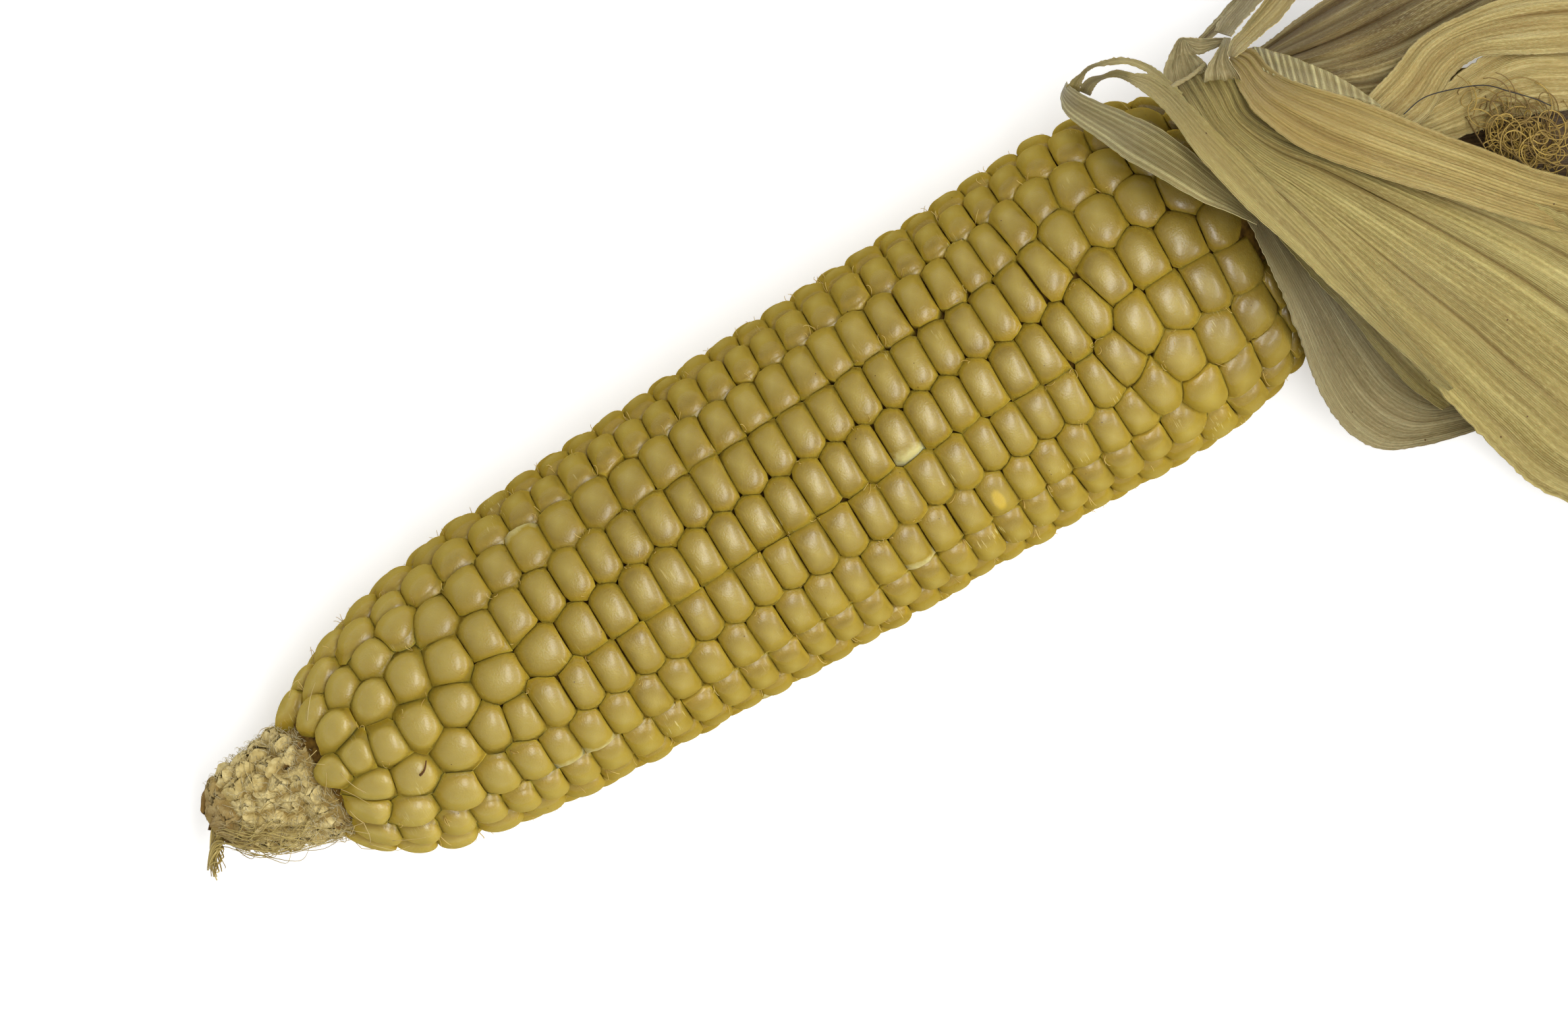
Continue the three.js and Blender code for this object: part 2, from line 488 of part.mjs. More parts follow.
const LEAVES = {
  husk_under_front: {
    seed: 31, steps: 9, pleats: 2, lean: UNDER_LEAN,
    stations: [[179, 6, 179, -6, 0], [192, 6, 190, -12, 0], [208, 3, 204, -24, 0], [226, -8, 218, -42, 0],
      [242, -26, 231, -53, 0], [254, -44, 245, -57, 0], [260, -57, 258, -60, 0]],
  },
  husk_under_back: {
    seed: 32, steps: 9, pleats: 2, lean: UNDER_LEAN,
    stations: [[180, 15, 180, 8, 0], [196, 18, 194, 9, 0], [216, 17, 214, 6, 0], [240, 12, 236, -8, 0],
      [262, 4, 256, -18, 0], [280, -9, 274, -19, 0], [288, -18, 286, -20, 0]],
  },
  husk_inner_dark: {
    seed: 33, steps: 8, pleats: 2,
    stations: [[203, -1, 204, -13, -1], [212, 0, 212, -20, -1], [222, 0, 221, -25, -1],
      [234, -5, 231, -29, -1], [247, -15, 243, -31, -1], [259, -28, 257, -32, -1]],
  },
  husk_lower_back: {
    seed: 34, steps: 13, pleats: 3, ragged: 0.8,
    stations: [[174.2, -3.5, 180, -3, 0], [171.8, -11, 182, -9, 0], [170, -18, 184, -16, 0],
      [168.2, -26, 186.5, -24, 0], [168.2, -33, 189, -31, 0], [171, -38.8, 193, -36, 0],
      [177, -42, 198, -38, 0], [186, -44.5, 206, -41, 0], [196, -46.5, 210, -44, 0]],
  },
  husk_back_grey: {
    seed: 35, steps: 13, pleats: 5,
    stations: [[186.5, 19.6, 186.8, 12, 0], [194, 20.4, 194, 6, 0], [203, 20.6, 203, 2.5, 0],
      [215, 19.5, 215, 2.5, 0], [230, 16.5, 229, 2, 0], [247, 12, 245, -1, 0], [264, 6, 262, -4, 0],
      [280, 0, 279, -5, 0], [289, -3, 289, -5.5, 0]],
  },
  husk_panel: {
    seed: 36, steps: 7, pleats: 3, ragged: 1,
    stations: [[199, 0.5, 200, -5, 0], [206, 1, 206, -7, 0], [212, 1.6, 212, -8, 0], [218, 1, 217, -10, 0],
      [225, -3, 221, -12, 0]],
  },
  husk_back_gold: {
    seed: 37, steps: 14, pleats: 3,
    stations: [[193, 4.5, 194, -2, 1], [201, 6.8, 202, -1.5, 1], [207, 8.6, 208, 1.5, 1],
      [213, 8.4, 213, 1.8, 1], [221, 7, 219, -1.5, 1], [231, 2.5, 227, -6, 1], [243, -5, 238, -13, 1],
      [256, -14, 251, -21, 1], [268, -24, 266, -27, 1]],
  },
  husk_lower_edge: {
    seed: 38, steps: 12, pleats: 2,
    stations: [[174.2, -5, 178, -5, 1], [175.3, -12, 180, -12, 1], [177.2, -20, 182, -20, 1],
      [178.3, -27, 184, -27, 1], [179.8, -34, 186, -34, 1], [182, -39, 187, -39, 1]],
  },
  husk_cuff: {
    seed: 39, steps: 14, pleats: 1,
    stations: [[184.6, 19.6, 183.8, 17.5, 2], [188, 18.8, 185, 15, 2], [191.3, 14.5, 187.8, 11.5, 2],
      [194, 10, 191.3, 7.5, 2], [196, 6, 194, 4, 2], [197, 3.2, 196, 1.8, 2]],
  },
  husk_brown: {
    seed: 40, steps: 15, pleats: 3,
    stations: [[181.2, 19, 184.2, 18.5, 3], [180.5, 11, 188, 12.3, 3], [184, 3, 194.5, 5.5, 3],
      [190.5, -5, 200.5, -2.5, 3], [198, -13, 206.5, -10, 3], [206, -22, 213, -18, 3],
      [216, -32, 223, -27, 3], [228, -42, 236, -38, 3], [241, -51, 246, -49, 3]],
  },
  husk_front_fan: {
    seed: 41, steps: 16, pleats: 8, ragged: 1,
    stations: [[173.6, 20.5, 181, 20.5, 4], [174, 13, 181.3, 11.8, 4], [176, 6, 185, 6.2, 4],
      [178.2, -1, 191, -0.5, 4], [179.2, -9, 198.5, -9, 4], [181, -20, 206, -17, 4],
      [183.3, -33, 213, -26, 4], [184.8, -45, 220, -37, 4], [188.5, -57, 227, -49, 4],
      [199, -69, 231, -61, 4], [213, -77, 231, -71, 4], [225.5, -81, 228.5, -79, 4]],
  },
  husk_strip_wide: {
    seed: 42, steps: 16, pleats: 2,
    stations: [[158.5, 29, 161.3, 28.8, 2], [157.8, 26, 162.3, 25.3, 2], [159, 20, 165, 19.8, 2],
      [161.2, 14.5, 168, 14.8, 2], [163.8, 9, 170.2, 11, 2], [166.5, 4.5, 171.3, 6, 2],
      [169.8, 0, 172.6, 1.5, 2], [172.2, -3.3, 173.2, -2.5, 2]],
  },
  husk_strip_long: {
    seed: 43, steps: 24, pleats: 1,
    stations: [[161.9, 28.6, 162.6, 27.4, 2.6], [164.5, 29.2, 164.6, 27.8, 3.5],
      [167.6, 27.8, 166.6, 26.6, 4.5], [170.3, 24, 168.6, 23.5, 5], [172.6, 20.5, 169.3, 19.5, 5],
      [173.3, 16, 169.5, 15, 5], [174.2, 11, 170, 10, 5], [176, 5, 171.8, 4, 5],
      [177.8, -1, 173.6, -1.5, 5], [178.8, -8, 175, -8, 5], [180.4, -15, 177, -15.5, 5],
      [182.2, -24, 179.6, -24.5, 5], [184, -33, 182.5, -33.5, 5], [184.8, -37, 184, -37, 5]],
  },
  husk_strip_thin: {
    seed: 44, steps: 12, pleats: 1, ragged: 0.3,
    stations: [[159.8, 30.3, 160.2, 29.4, 2.6], [164, 31.2, 164, 30.3, 4], [168.7, 29.4, 168.3, 28.5, 5],
      [171.8, 25.6, 170.8, 25.2, 5], [173.2, 22.8, 172.4, 22.3, 4.8]],
  },
  husk_knot_loop: {
    seed: 45, steps: 12, pleats: 1,
    stations: [[173.6, 23.6, 174.6, 21.4, 6], [175.8, 26, 177, 22.6, 6], [178, 27.2, 178.4, 23.8, 6],
      [180.4, 26, 179.4, 23.2, 6], [182.6, 24.2, 181, 21.8, 6], [184.2, 22.6, 182, 20.4, 6]],
  },
  husk_strip_back: {
    seed: 46, steps: 14, pleats: 2,
    stations: [[184.2, 24.2, 184.4, 20.8, 4], [187, 26.6, 188, 21.6, 4], [192, 27, 193.5, 23, 4],
      [199, 29, 199.5, 25, 4], [208, 31, 208, 27, 4], [218, 31.5, 217.5, 28.5, 4],
      [228, 30.5, 227.6, 29, 4]],
  },
};

// ---- Silk ----

// A twisted tuft that hangs off the ear's tip, and one loose strand along the bare cob's -Y side.
function tipSilk() {
  const draw = seeded(7);
  const [rootX, rootY] = TUFT_ROOT;
  const tuft = Array.from({ length: 3 }, (_, i) => {
    const phase = (i * TURN) / 3;
    const points = Array.from({ length: 7 }, (__, step) => {
      const share = step / 6;
      const spread = 0.35 + 0.9 * share * share;
      const angle = phase + TUFT_TWIST * share;
      const x = rootX - 0.2 - TUFT_LENGTH * share;
      return [x, rootY - TUFT_DROP * share + spread * Math.sin(angle), spread * Math.cos(angle)];
    });
    return strand(points, SILK_RADIUS, 8);
  });
  const root = strand([TUFT_ROOT, [rootX - 0.8, rootY - 1, 0]], 0.9, 1, 6);
  const flank = [[rootX - 0.2, rootY - 0.6, 0], [rootX + 0.5, rootY - 5, 0]];
  for (let along = 0.4; along <= 12; along += 2.3) {
    const clear = lookup(COB_PROFILE, along) + 1.2 + 1.2 * draw();
    flank.push(earPoint(along, -1.5 - 0.02 * along, clear).toArray());
  }
  return joined([root, ...tuft, strand(flank, SILK_RADIUS, 14)]);
}

// Curled strands from one root, lying on the husk.
function huskSilk() {
  const draw = seeded(9);
  const [rootX, rootY] = TANGLE_ROOT;
  const strands = Array.from({ length: 5 }, () => {
    const heading = 1.5 * draw() - 1.4;
    const curl = 1.2 + 1.6 * draw();
    const phase = 6 * draw();
    const length = 7 + 3 * draw();
    const level = 0.9 + 0.9 * draw();
    const points = Array.from({ length: 9 }, (_, step) => {
      const share = step / 8;
      const turn = phase + 7 * share;
      const x = rootX + length * share * Math.cos(heading) + curl * (Math.cos(turn) - Math.cos(phase));
      const y = rootY + length * share * Math.sin(heading) + curl * (Math.sin(turn) - Math.sin(phase));
      return [x, y, coverHeight(x, y, share === 0 ? 1.2 : level)];
    });
    return strand(points, SILK_RADIUS, 11);
  });
  return joined(strands);
}

// ---- The whole ear ----

const COLOURS = {
  kernels: 0xd9c078,
  cob: 0xb7a67c,
  shank: 0xb9ab76,
  leaf: 0xb9a567,
  darkLeaf: 0x6a4d1f,
  greyLeaf: 0xa5966a,
  brownLeaf: 0xa8894a,
  silk: 0x8a6a35,
};

function piece(name, geometry, color, roughness = 0.8) {
  geometry.computeVertexNormals();
  const mesh = new THREE.Mesh(geometry, new THREE.MeshStandardMaterial({ color, roughness, metalness: 0 }));
  mesh.name = name;
  return mesh;
}

const ear = new THREE.Group();
ear.rotation.y = -TILT;
ear.position.set(-REST_X * Math.cos(TILT), 0, REST_AXIS_HEIGHT - REST_X * Math.sin(TILT));
ear.add(piece("kernels", geometryOfSolid(kernels()), COLOURS.kernels, 0.35));
ear.add(piece("cob", geometryOfSolid(cob()), COLOURS.cob, 0.9));
ear.add(piece("shank", geometryOfSolid(bar(SHANK_PROFILE, 16)), COLOURS.shank));
ear.add(piece("silk_tip", geometryOfSolid(tipSilk()), COLOURS.silk));

const LEAF_COLOURS = {
  husk_inner_dark: COLOURS.darkLeaf,
  husk_lower_back: COLOURS.greyLeaf,
  husk_back_grey: COLOURS.greyLeaf,
  husk_brown: COLOURS.brownLeaf,
};

const husk = new THREE.Group();
husk.position.set(-REST_X, 0, 0);
Object.entries(LEAVES).forEach(([name, shape]) => {
  husk.add(piece(name, leaf(shape), LEAF_COLOURS[name] ?? COLOURS.leaf));
});
husk.add(piece("silk_husk", geometryOfSolid(huskSilk()), COLOURS.silk));

const cornEar = new THREE.Group();
cornEar.add(ear, husk);

export default cornEar;
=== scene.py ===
"""A dry ear of corn: rows of kernels on their cob, its tip bare, its husk pulled back round the shank.

Sizes are in millimetres, drawn as the part is: the ear straight along X from its tip at 0, and the husk
where it lies. ear_place() and husk_place() bring both into the part's own frame, in metres.
"""

import math

import bpy
import numpy as np
from mathutils import Matrix, Vector
from mathutils.geometry import delaunay_2d_cdt


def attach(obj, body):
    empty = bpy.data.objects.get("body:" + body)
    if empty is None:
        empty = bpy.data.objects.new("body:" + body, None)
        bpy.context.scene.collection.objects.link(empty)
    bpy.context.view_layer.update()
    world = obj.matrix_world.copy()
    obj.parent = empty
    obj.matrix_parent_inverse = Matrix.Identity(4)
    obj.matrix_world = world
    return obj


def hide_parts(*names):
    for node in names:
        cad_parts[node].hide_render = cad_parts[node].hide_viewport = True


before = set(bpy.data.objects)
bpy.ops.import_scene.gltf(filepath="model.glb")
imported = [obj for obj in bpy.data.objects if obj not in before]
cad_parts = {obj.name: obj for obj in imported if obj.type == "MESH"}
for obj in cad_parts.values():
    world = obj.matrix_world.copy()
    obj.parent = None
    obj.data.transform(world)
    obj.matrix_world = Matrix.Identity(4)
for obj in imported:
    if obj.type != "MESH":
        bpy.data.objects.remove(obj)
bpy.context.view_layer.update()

# ---- Driving dimensions, as in the part ----

MM = 0.001
TURN = 2 * math.pi
REST_X = 101.4
REST_AXIS_HEIGHT = 24.0
TILT = math.radians(2.1)
EAR_PROFILE = [(13, 10), (17, 13), (20, 15.3), (25, 17.8), (30, 19.2), (40, 21), (50, 22.4), (70, 23.4),
               (100, 24.6), (130, 25.2), (150, 26.1), (158, 25.4), (164, 24.2), (168, 22.8), (171, 20.5),
               (174, 16.5)]
COB_PROFILE = [(-1.6, 3), (0.5, 5.3), (2, 6.3), (5, 7.5), (10, 8.6), (15, 9.6), (17, 9.9), (30, 11.4),
               (60, 12.8), (120, 14), (166, 13), (171.5, 10.5)]
SHANK_PROFILE = [(172, 9.4), (175, 9.2), (176, 8.4), (180, 7.8), (181, 8.3), (182, 7.6), (189, 7.2),
                 (190, 7.7), (191, 7.1), (197, 6.8)]
TIP_BEND = 2.9
TIP_BEND_LENGTH = 20
ROWS = 18
FIRST_ROW_ANGLE = math.radians(-1.7)
BASE_TWIST = math.radians(8.7)
BASE_TWIST_SPAN = (138, 149)
TIP_RINGS = [(17.4, 12), (22.8, 15), (28.9, 17)]
TIP_RING_SPACING = 5
ROWS_START = 35
ROW_STAGGER = 0.5
ROW_START_SCATTER = 0.12
KERNELS_END = 169.3
KERNELS_LAST = 173.2
KERNEL_PITCH = [(34, 6.6), (46, 6.2), (56, 5.3), (70, 4.95), (140, 4.75), (149, 5.9), (180, 5.9)]
KERNEL_LOOSENESS = [(35, 1.3), (55, 0.5), (140, 0.5), (150, 1.1)]
TIP_LOOSENESS = 1.7
EDGE_LOOSENESS = 0.2
KERNEL_STRAY_ANGLE = 0.045
KERNEL_STRAY_ALONG = 0.9
KERNEL_STRAY_PROUD = 0.5
KERNEL_UNROLL_RADIUS = 17
KERNEL_HUSK_SHADE_SPAN = (0.053, 0.064)  # where kernels are darkened with painted shade towards the husk, in metres along the part
SPIKELET_PITCH = 3.5
SPIKELET_RING_SPACING = 3.01
SPIKELET_STRAY_AROUND = 0.25
SPIKELET_STRAY_ALONG = 0.8
SPIKELET_STRAY_PROUD = 0.7
SPIKELETS_START = 1
SPIKELETS_END = 15.5
SPIKELET_UNROLL_RADIUS = 7
COVER_CREST = [(150, 56), (165, 55), (168, 54), (171, 50), (174, 46), (180, 41), (190, 37), (205, 31),
               (225, 23), (250, 14), (280, 8), (330, 4)]
COVER_HALF_WIDTH = [(150, 29.5), (165, 29), (171, 26.5), (185, 24), (200, 24), (230, 28), (260, 34),
                    (330, 40)]
COVER_EDGE_HEIGHT = 1.2
HUSK_STEP = 1.3
HUSK_LIFT = 1.0
UPPER_LEAN = [(0, 1), (1, 1)]
UNDER_LEAN = [(0, 0.4), (0.25, 0.24), (1, 0.1)]

# ---- The finer look ----

KERNEL_SPOKES = 24
KERNEL_RINGS = (0.22, 0.42, 0.6, 0.76, 0.88, 0.95, 1.0)  # share of the way out to a kernel's side
KERNEL_CORNER = [(16, 5), (36, 5.5), (56, 6.5), (80, 7)]  # how sharp the corners of the domes are
KERNEL_FOOT_CORNER = 60  # and those of the feet that they stand on, which fill the gaps between them
KERNEL_FOOT = (0.05, 0.2, 1.5)  # how far below a dome a foot starts, its slope, and how far out it goes
KERNEL_FOOT_SPREAD = 1.35  # how far past its own corner a foot goes, so that no pit stays open
KERNEL_SQUARENESS = [(20, 2), (60, 2.4)]  # of the dome, from 2 for an ellipse
KERNEL_BULGE_ACROSS = 1.02  # the dome's reach, against the kernel's half width and half length
KERNEL_BULGE_ALONG = [(20, 1.08), (60, 1.13)]
KERNEL_DOME = [(20, 0.88), (60, 0.8)]  # its height, against the kernel's mean half size
KERNEL_FULLNESS = [(20, 2.1), (60, 2.45)]  # of its section, from 2 for an ellipse
KERNEL_ROUND = [(20, 1.12), (40, 1.2), (60, 1.9)]  # how far past a round outline a kernel may reach
KERNEL_LARGEST = [(18, 3.4), (30, 4.2), (45, 5), (60, 7)]  # its farthest reach
KERNEL_RIM = 0.97  # how far down its section a kernel goes at a corner of its outline
KERNEL_DOME_SPAN = (1.5, 2.9)
KERNEL_FILLET = 0.07  # extra rounding at the seams
KERNEL_TILT = 0.12  # how unevenly the crowns face
KERNEL_SKIRT = ((1.3, 0.99), (2.4, 0.95))  # how far the sides go on down, and how far in they draw
KERNEL_LONGEST_GAP = 0.17  # half the widest slit between neighbours in a row
KERNEL_SEAM = 0.012  # half the gap between kernels that touch
KERNEL_SLIT_TURN = (0.75, 0.95)  # how much a side faces along its row before it can be a slit
KERNEL_SLIT_CHANCE = 0.45  # share of the sides in a row that stay shut
KERNEL_SLIT_SCALE = 0.3  # about the square of the share that is left
KERNEL_ROUND_BLEND = 8.0  # how sharply an outline goes over into its round limit
KERNEL_RIM_BLEND = 12.0  # and a section into its rim
KERNEL_FILLET_SPAN = (0.8, 0.2)  # share of the way out where a fillet starts, and the rest of the way
KERNEL_FILLET_CURVE = 2.5
KERNEL_PALE_SPAN = (60, 45)  # distance from the tip up to which kernels are paler, and over how far
KERNEL_WOUND = (0.7, 0.55, 0.2)  # a torn patch: width and length against the kernel's, and how far back
LEAST_SIDE = 0.4  # the least that a stud reaches towards a neighbour
WRAP_ANGLE = 1.5  # how far past a full turn the seeds are laid out again, so that the cells close
OPEN_SIDE = 3.0  # how far a kernel with no neighbour reaches
BED_DEPTH = 3.9  # of the chaff between kernels, under their crowns
BED_END = [(173, 13.5), (175, 10.2)]  # (distance from the tip, radius) where it closes round the cob
BED_SIDES = 48
CORE_END = [(16, 9.2), (60, 12.4), (120, 13.6), (171.5, 10.2)]  # the cob's core inside the kernels
CORE_DEPTH = 1.0  # of the core under the spikelets
CORE_SIDES = 40
SPIKELET_SPOKES = 18
SPIKELET_CORNER = 6
SPIKELET_GAP = 0.05
SPIKELET_LARGEST = 2.0
SPIKELET_RINGS = ((0.3, 0.3), (0.5, 0.1), (0.7, 0.15), (0.85, 0.5), (1.0, 1.2), (1.0, 1.8))  # (share, drop)
STUD_DEPTH = 0.35  # of a spikelet's crown under the cob's own surface
STUD_PROUD = 0.6  # how much of its scatter in height a spikelet keeps
STUD_CRUMPLE = 0.25
BRACT_ROWS = 7
BRACT_COLUMNS = 6
BRACT_THICKNESS = 0.12
BRACT_CRUMPLE = 0.09
END_BRACTS = 36  # small loose ones over the very tip
# Rings of an empty cup from its foot outside to its floor: (reach, rise, how brown).
CUPULE_RINGS = ((1.3, -0.8, 0.3), (1.15, 0.1, 0.4), (1.0, 0.4, 0.5), (0.9, 0.3, 0.9), (0.75, -0.2, 1.0),
                (0.4, -0.9, 1.0))
CUPULE_SPOKES = 20
CUPULE_FLOOR = 1.1
CUPULE_LENGTH = 1.2  # along the ear, against its width
# Empty cups: (distance from the tip, angle round the cob, size).
CUPULES = [(15.9, 0.56, 0.62), (12.5, 0.36, 0.45), (14.6, -0.9, 0.6), (13.2, 2.4, 0.6), (9.5, -2.5, 0.6)]
TUFT_THREADS = 30
LOOP_THREADS = 44
LOOSE_THREADS = 34
LOOSE_ON_TOP = 16  # of those, how many lie where they show
HUSK_THREADS = 95
CHAFF_HAIRS = 1500
CHIP_START = (28.9, -20.5)  # (distance from the tip, degrees round the ear)
CHIP_LENGTH = 1.9
SCAR_SHARE = 0.5  # of the kernels that carry a silk scar
UPPER_SIDE = -0.09  # cosine of the angle past which kernels at the tip lie in plain rings
# Single kernels between rows: (distance from the tip, degrees round the ear).
TIP_KERNELS = [(16.8, 73), (17, -84)]
# The uppermost rows, counted round the ear: where each kernel lies, and how the row wanders, in degrees.
UPPER_ROWS = {
    0: ([18, 22.3, 27.1, 32.5, 38.6, 46, 53.7, 60.1, 65.3, 70.3, 75.3, 80.4, 85.1, 89.9, 94.8, 99.7, 104.2,
         108.7, 113.5, 118.5, 122.9, 127.7, 132.6, 137.4, 142.1, 146.3, 150.9, 157.1, 163.2, 169.1],
        [(17.7, 0), (21.7, 2), (26.6, -2), (120.3, -2), (137.5, -4), (142.2, -2), (146.6, 1), (150.6, 7),
         (162.8, 6), (168.8, 2)]),
    1: ([21.2, 28.5, 34.7, 40.8, 47.1, 52.5, 57.7, 62.8, 67.6, 72.7, 77.9, 82.7, 87.3, 92.1, 97, 101.8,
         106.7, 111.5, 116.1, 120.9, 125.3, 130, 134.6, 139.3, 143.7, 148.6, 154.6, 160.9, 166.5],
        [(20.7, 22.5), (34.6, 21), (40.6, 16), (59.7, 18), (130.4, 16), (139.5, 18), (143.5, 20),
         (148.6, 26.5), (160.7, 25.5), (166.7, 22.5)]),
    2: ([19.7, 25.3, 31.4, 36.9, 42.4, 48.7, 54, 59.3, 65, 71, 76.9, 82.3, 87.4, 92.3, 97, 101.9, 106.7,
         111.1, 115.9, 120.8, 125.6, 130.4, 134.7, 138.8, 143.1, 147.8, 153.6, 159.2, 165.1],
        [(19.8, 43.5), (25.7, 38.5), (31.7, 40.5), (36.8, 46.5), (42.7, 34.5), (49.7, 38.5), (130.3, 38.5),
         (139.4, 40.5), (143.4, 44.5), (147.4, 48.5), (153.5, 44.5), (165.6, 43)]),
    3: ([23, 31.1, 37, 42.7, 48.9, 55.2, 60.8, 65.7, 70.7, 75.7, 80.1, 84.9, 89.8, 94.6, 99.2, 103.7, 108.3,
         112.9, 117.9, 122.8, 127.3, 131.8, 136.3, 140.7, 145.4, 150.4, 155.7, 161.3, 166.8],
        [(22.9, 59.5), (130.2, 61.5), (150.2, 66.5), (167.3, 63)]),
    4: ([20.4, 26.6],
        [(20.2, 80.5), (26.6, 76.5), (32.1, 78.5), (138.1, 79.5), (149, 87)]),
    14: ([22.6, 28],
        [(22.2, -81), (28.2, -82.5), (34.1, -82), (138, -83.5), (149.1, -76.5)]),
    15: ([18.9, 24.2, 29.7, 34.4, 39.4, 44, 48.7, 53.9, 59.1, 63.9, 68.8, 73.7, 78.3, 83, 87.8, 92.4, 97.2,
          102, 106.8, 111.3, 115.9, 120.6, 125.2, 129.8, 134.4, 139.1, 144, 149.1, 154.6, 160.2, 166.4],
        [(19, -60.5), (33.9, -63.5), (130.2, -63.5), (142.3, -60.5), (149.3, -60.5), (154.4, -50.5),
         (159.4, -54.5), (165.4, -57)]),
    16: ([19.6, 24.9, 32.6, 38.4, 43.7, 48.3, 53.3, 58.3, 63.3, 68.1, 73.1, 78.1, 82.8, 87.7, 92.6, 97.1,
          101.9, 106.6, 111.3, 116.3, 121, 125.7, 130.2, 134.8, 139.8, 144.2, 148.8, 154.3, 160.4, 166.8],
        [(19.8, -32.5), (24.8, -42.5), (134.3, -41.5), (144.4, -42.5), (149.5, -37.5), (153.6, -30.5),
         (160.6, -34.5), (166.6, -36.5)]),
    17: ([22.2, 27.9, 35.5, 41.2, 45.9, 50.9, 55.7, 60.7, 65.7, 70.6, 75.5, 80.6, 85.3, 89.8, 94.7, 99.8,
          104.6, 109.4, 114.3, 119, 123.6, 128, 132.8, 137.6, 142.2, 146.5, 151.4, 157.3, 162.9, 168.2],
        [(21.7, -18), (27.6, -22), (41.6, -18), (45.7, -22), (132.4, -23), (142.5, -24), (146.6, -20),
         (151.6, -12), (162.7, -14), (167.7, -16.5)]),
}
# Kernels with an opaque milky end: [distance from the tip, degrees round the ear, which end].
MILKY_KERNELS = [(113, -6.9, -1), (48, -48, -1), (53, -45.6, -1), (58, 46.4, 1), (106, -38.9, -1),
                 (88, 128, 1), (131, -150, -1), (76, -96, 1)]
TORN_KERNEL = (120.8, -39)  # one whose skin is torn, so that its yellow flesh shows

LEAF_THICKNESS = 0.3
PLEAT_DEPTH = 0.28
PLEAT_SLOPE = 0.16
RIB_HEIGHT = 0.1
LEAF_WAVE = 0.35  # slow rise and fall of a leaf
MARGIN_CURL = 0.4
CREASE_FADE = 0.1  # share of a leaf's length over which a crease fades out
GATHER_REACH = 0.3  # share of a leaf's length that stays gathered at its root
POINTS_A_RIB = 4
LEAF_STEP = 0.6  # along a leaf
LEAF_ROWS = (24, 200)  # fewest and most
EDGE_WANDER = (0.12, 0.13)  # of a leaf's edge: slow, and ragged
LEAST_MARGIN = 6.0  # how fast that wander dies out from the edge, as a power
MARGIN_PER_RIB = 1.5
DRIFT = 0.05  # how far pleats and creases wander sideways
GATHER_DEPTH = 0.26  # against the space between gathers
FOLD_PLACE = (0.05, 0.95)  # limits of the random folds, as shares of a leaf and in millimetres of depth
FOLD_DEPTH = (-0.35, 0.5)
FOLD_BREADTH = (0.01, 0.05)
FOLD_START = (-0.3, 0.6)
FOLD_LENGTH = (0.35, 0.9)
CREASE_FULL_WIDTH = 10  # a leaf narrower than this creases less
WAVE_FULL_WIDTH = 12
WAVE_LENGTH = 16
CURL_FULL_WIDTH = 6
CURL_FADE = 12  # how fast the curl dies out from the edge, as a power
MARGIN_LIFT = (-0.3, 1)  # how much of the curl an edge has along its length
RIB_SIZES = (0.35, 1.0)
RIB_STEEPNESS = 0.2  # the most that a rib stands up, against the space between ribs
CROSS_RIB_STEEPNESS = 0.36
EDGE_THINNESS = 0.45  # a leaf's thickness at its edge, against its middle
EDGE_SPAN = 2  # over which it thickens
FULL_SHADE_DEPTH = 0.4  # of a crease whose painted shade is as dark as can be
GATHER_SHADE = (0.3, 0.15)  # how dark the painted shade in a gather's valley is, and how deep where it is so
# how dark the painted shade in a pleat's valley is
PLEAT_SHADE = 0.25
SWELLS = 5  # waves in a slow random swell
KNOT_ROLL_LINE = [(171.9, 21.3, 4.9), (173.7, 21.3, 5.1), (175.2, 21.2, 5.2), (176.7, 21.3, 5.2),
                  (178.4, 21.6, 5.3)]  # (x, y, level in the pile)
KNOT_ROLL_STEPS = 36
KNOT_ROLL_PLIES = 5
KNOT_ROLL_TURNS = 2.2
BLACK_THREAD_LINE = [(199, 0.5), (203, 1.0), (208, -0.5), (211.5, -2.2), (214, -4.8), (216.5, -7.5),
                     (218, -9.6)]
BLACK_THREAD_LEVEL = 2.2


def table(points, x):
    """The value at x of a table of (x, value), straight between its points."""
    xs, values = zip(*points)
    return np.interp(x, xs, values)


def smoothstep(low, high, x):
    """From 0 at low to 1 at high, level at both ends."""
    share = min(max((x - low) / (high - low), 0), 1)
    return share * share * (3 - 2 * share)


def draws(seed):
    """A seeded stream of numbers from 0 to 1."""
    whole = 0xFFFFFFFF
    state = seed
    while True:
        state = (state + 0x6D2B79F5) & whole
        mixed = ((state ^ (state >> 15)) * (state | 1)) & whole
        mixed ^= (mixed + (((mixed ^ (mixed >> 7)) * (mixed | 61)) & whole)) & whole
        yield ((mixed ^ (mixed >> 14)) & whole) / 2**32


def waves(x, y, seed, length):
    """A slow random swell over a plane, about -1 to 1, with waves of about this length."""
    noise = np.random.default_rng(seed)
    total = np.zeros(np.broadcast(x, y).shape)
    for _ in range(SWELLS):
        heading, phase = noise.uniform(0, TURN, 2)
        pace = TURN / (length * noise.uniform(0.7, 1.5))
        total += np.sin(pace * (x * math.cos(heading) + y * math.sin(heading)) + phase)
    return total / math.sqrt(SWELLS)


# ---- Places ----

def ear_point(along, angle, radius):
    """Points of the ear in its own straight frame: along its axis, round it from straight up, out from it."""
    along, angle, radius = np.broadcast_arrays(along, angle, radius)
    bend = TIP_BEND * np.clip(1 - np.maximum(along, 0) / TIP_BEND_LENGTH, 0, None)
    return np.stack([along, bend + radius * np.sin(angle), radius * np.cos(angle)], -1).astype(float)


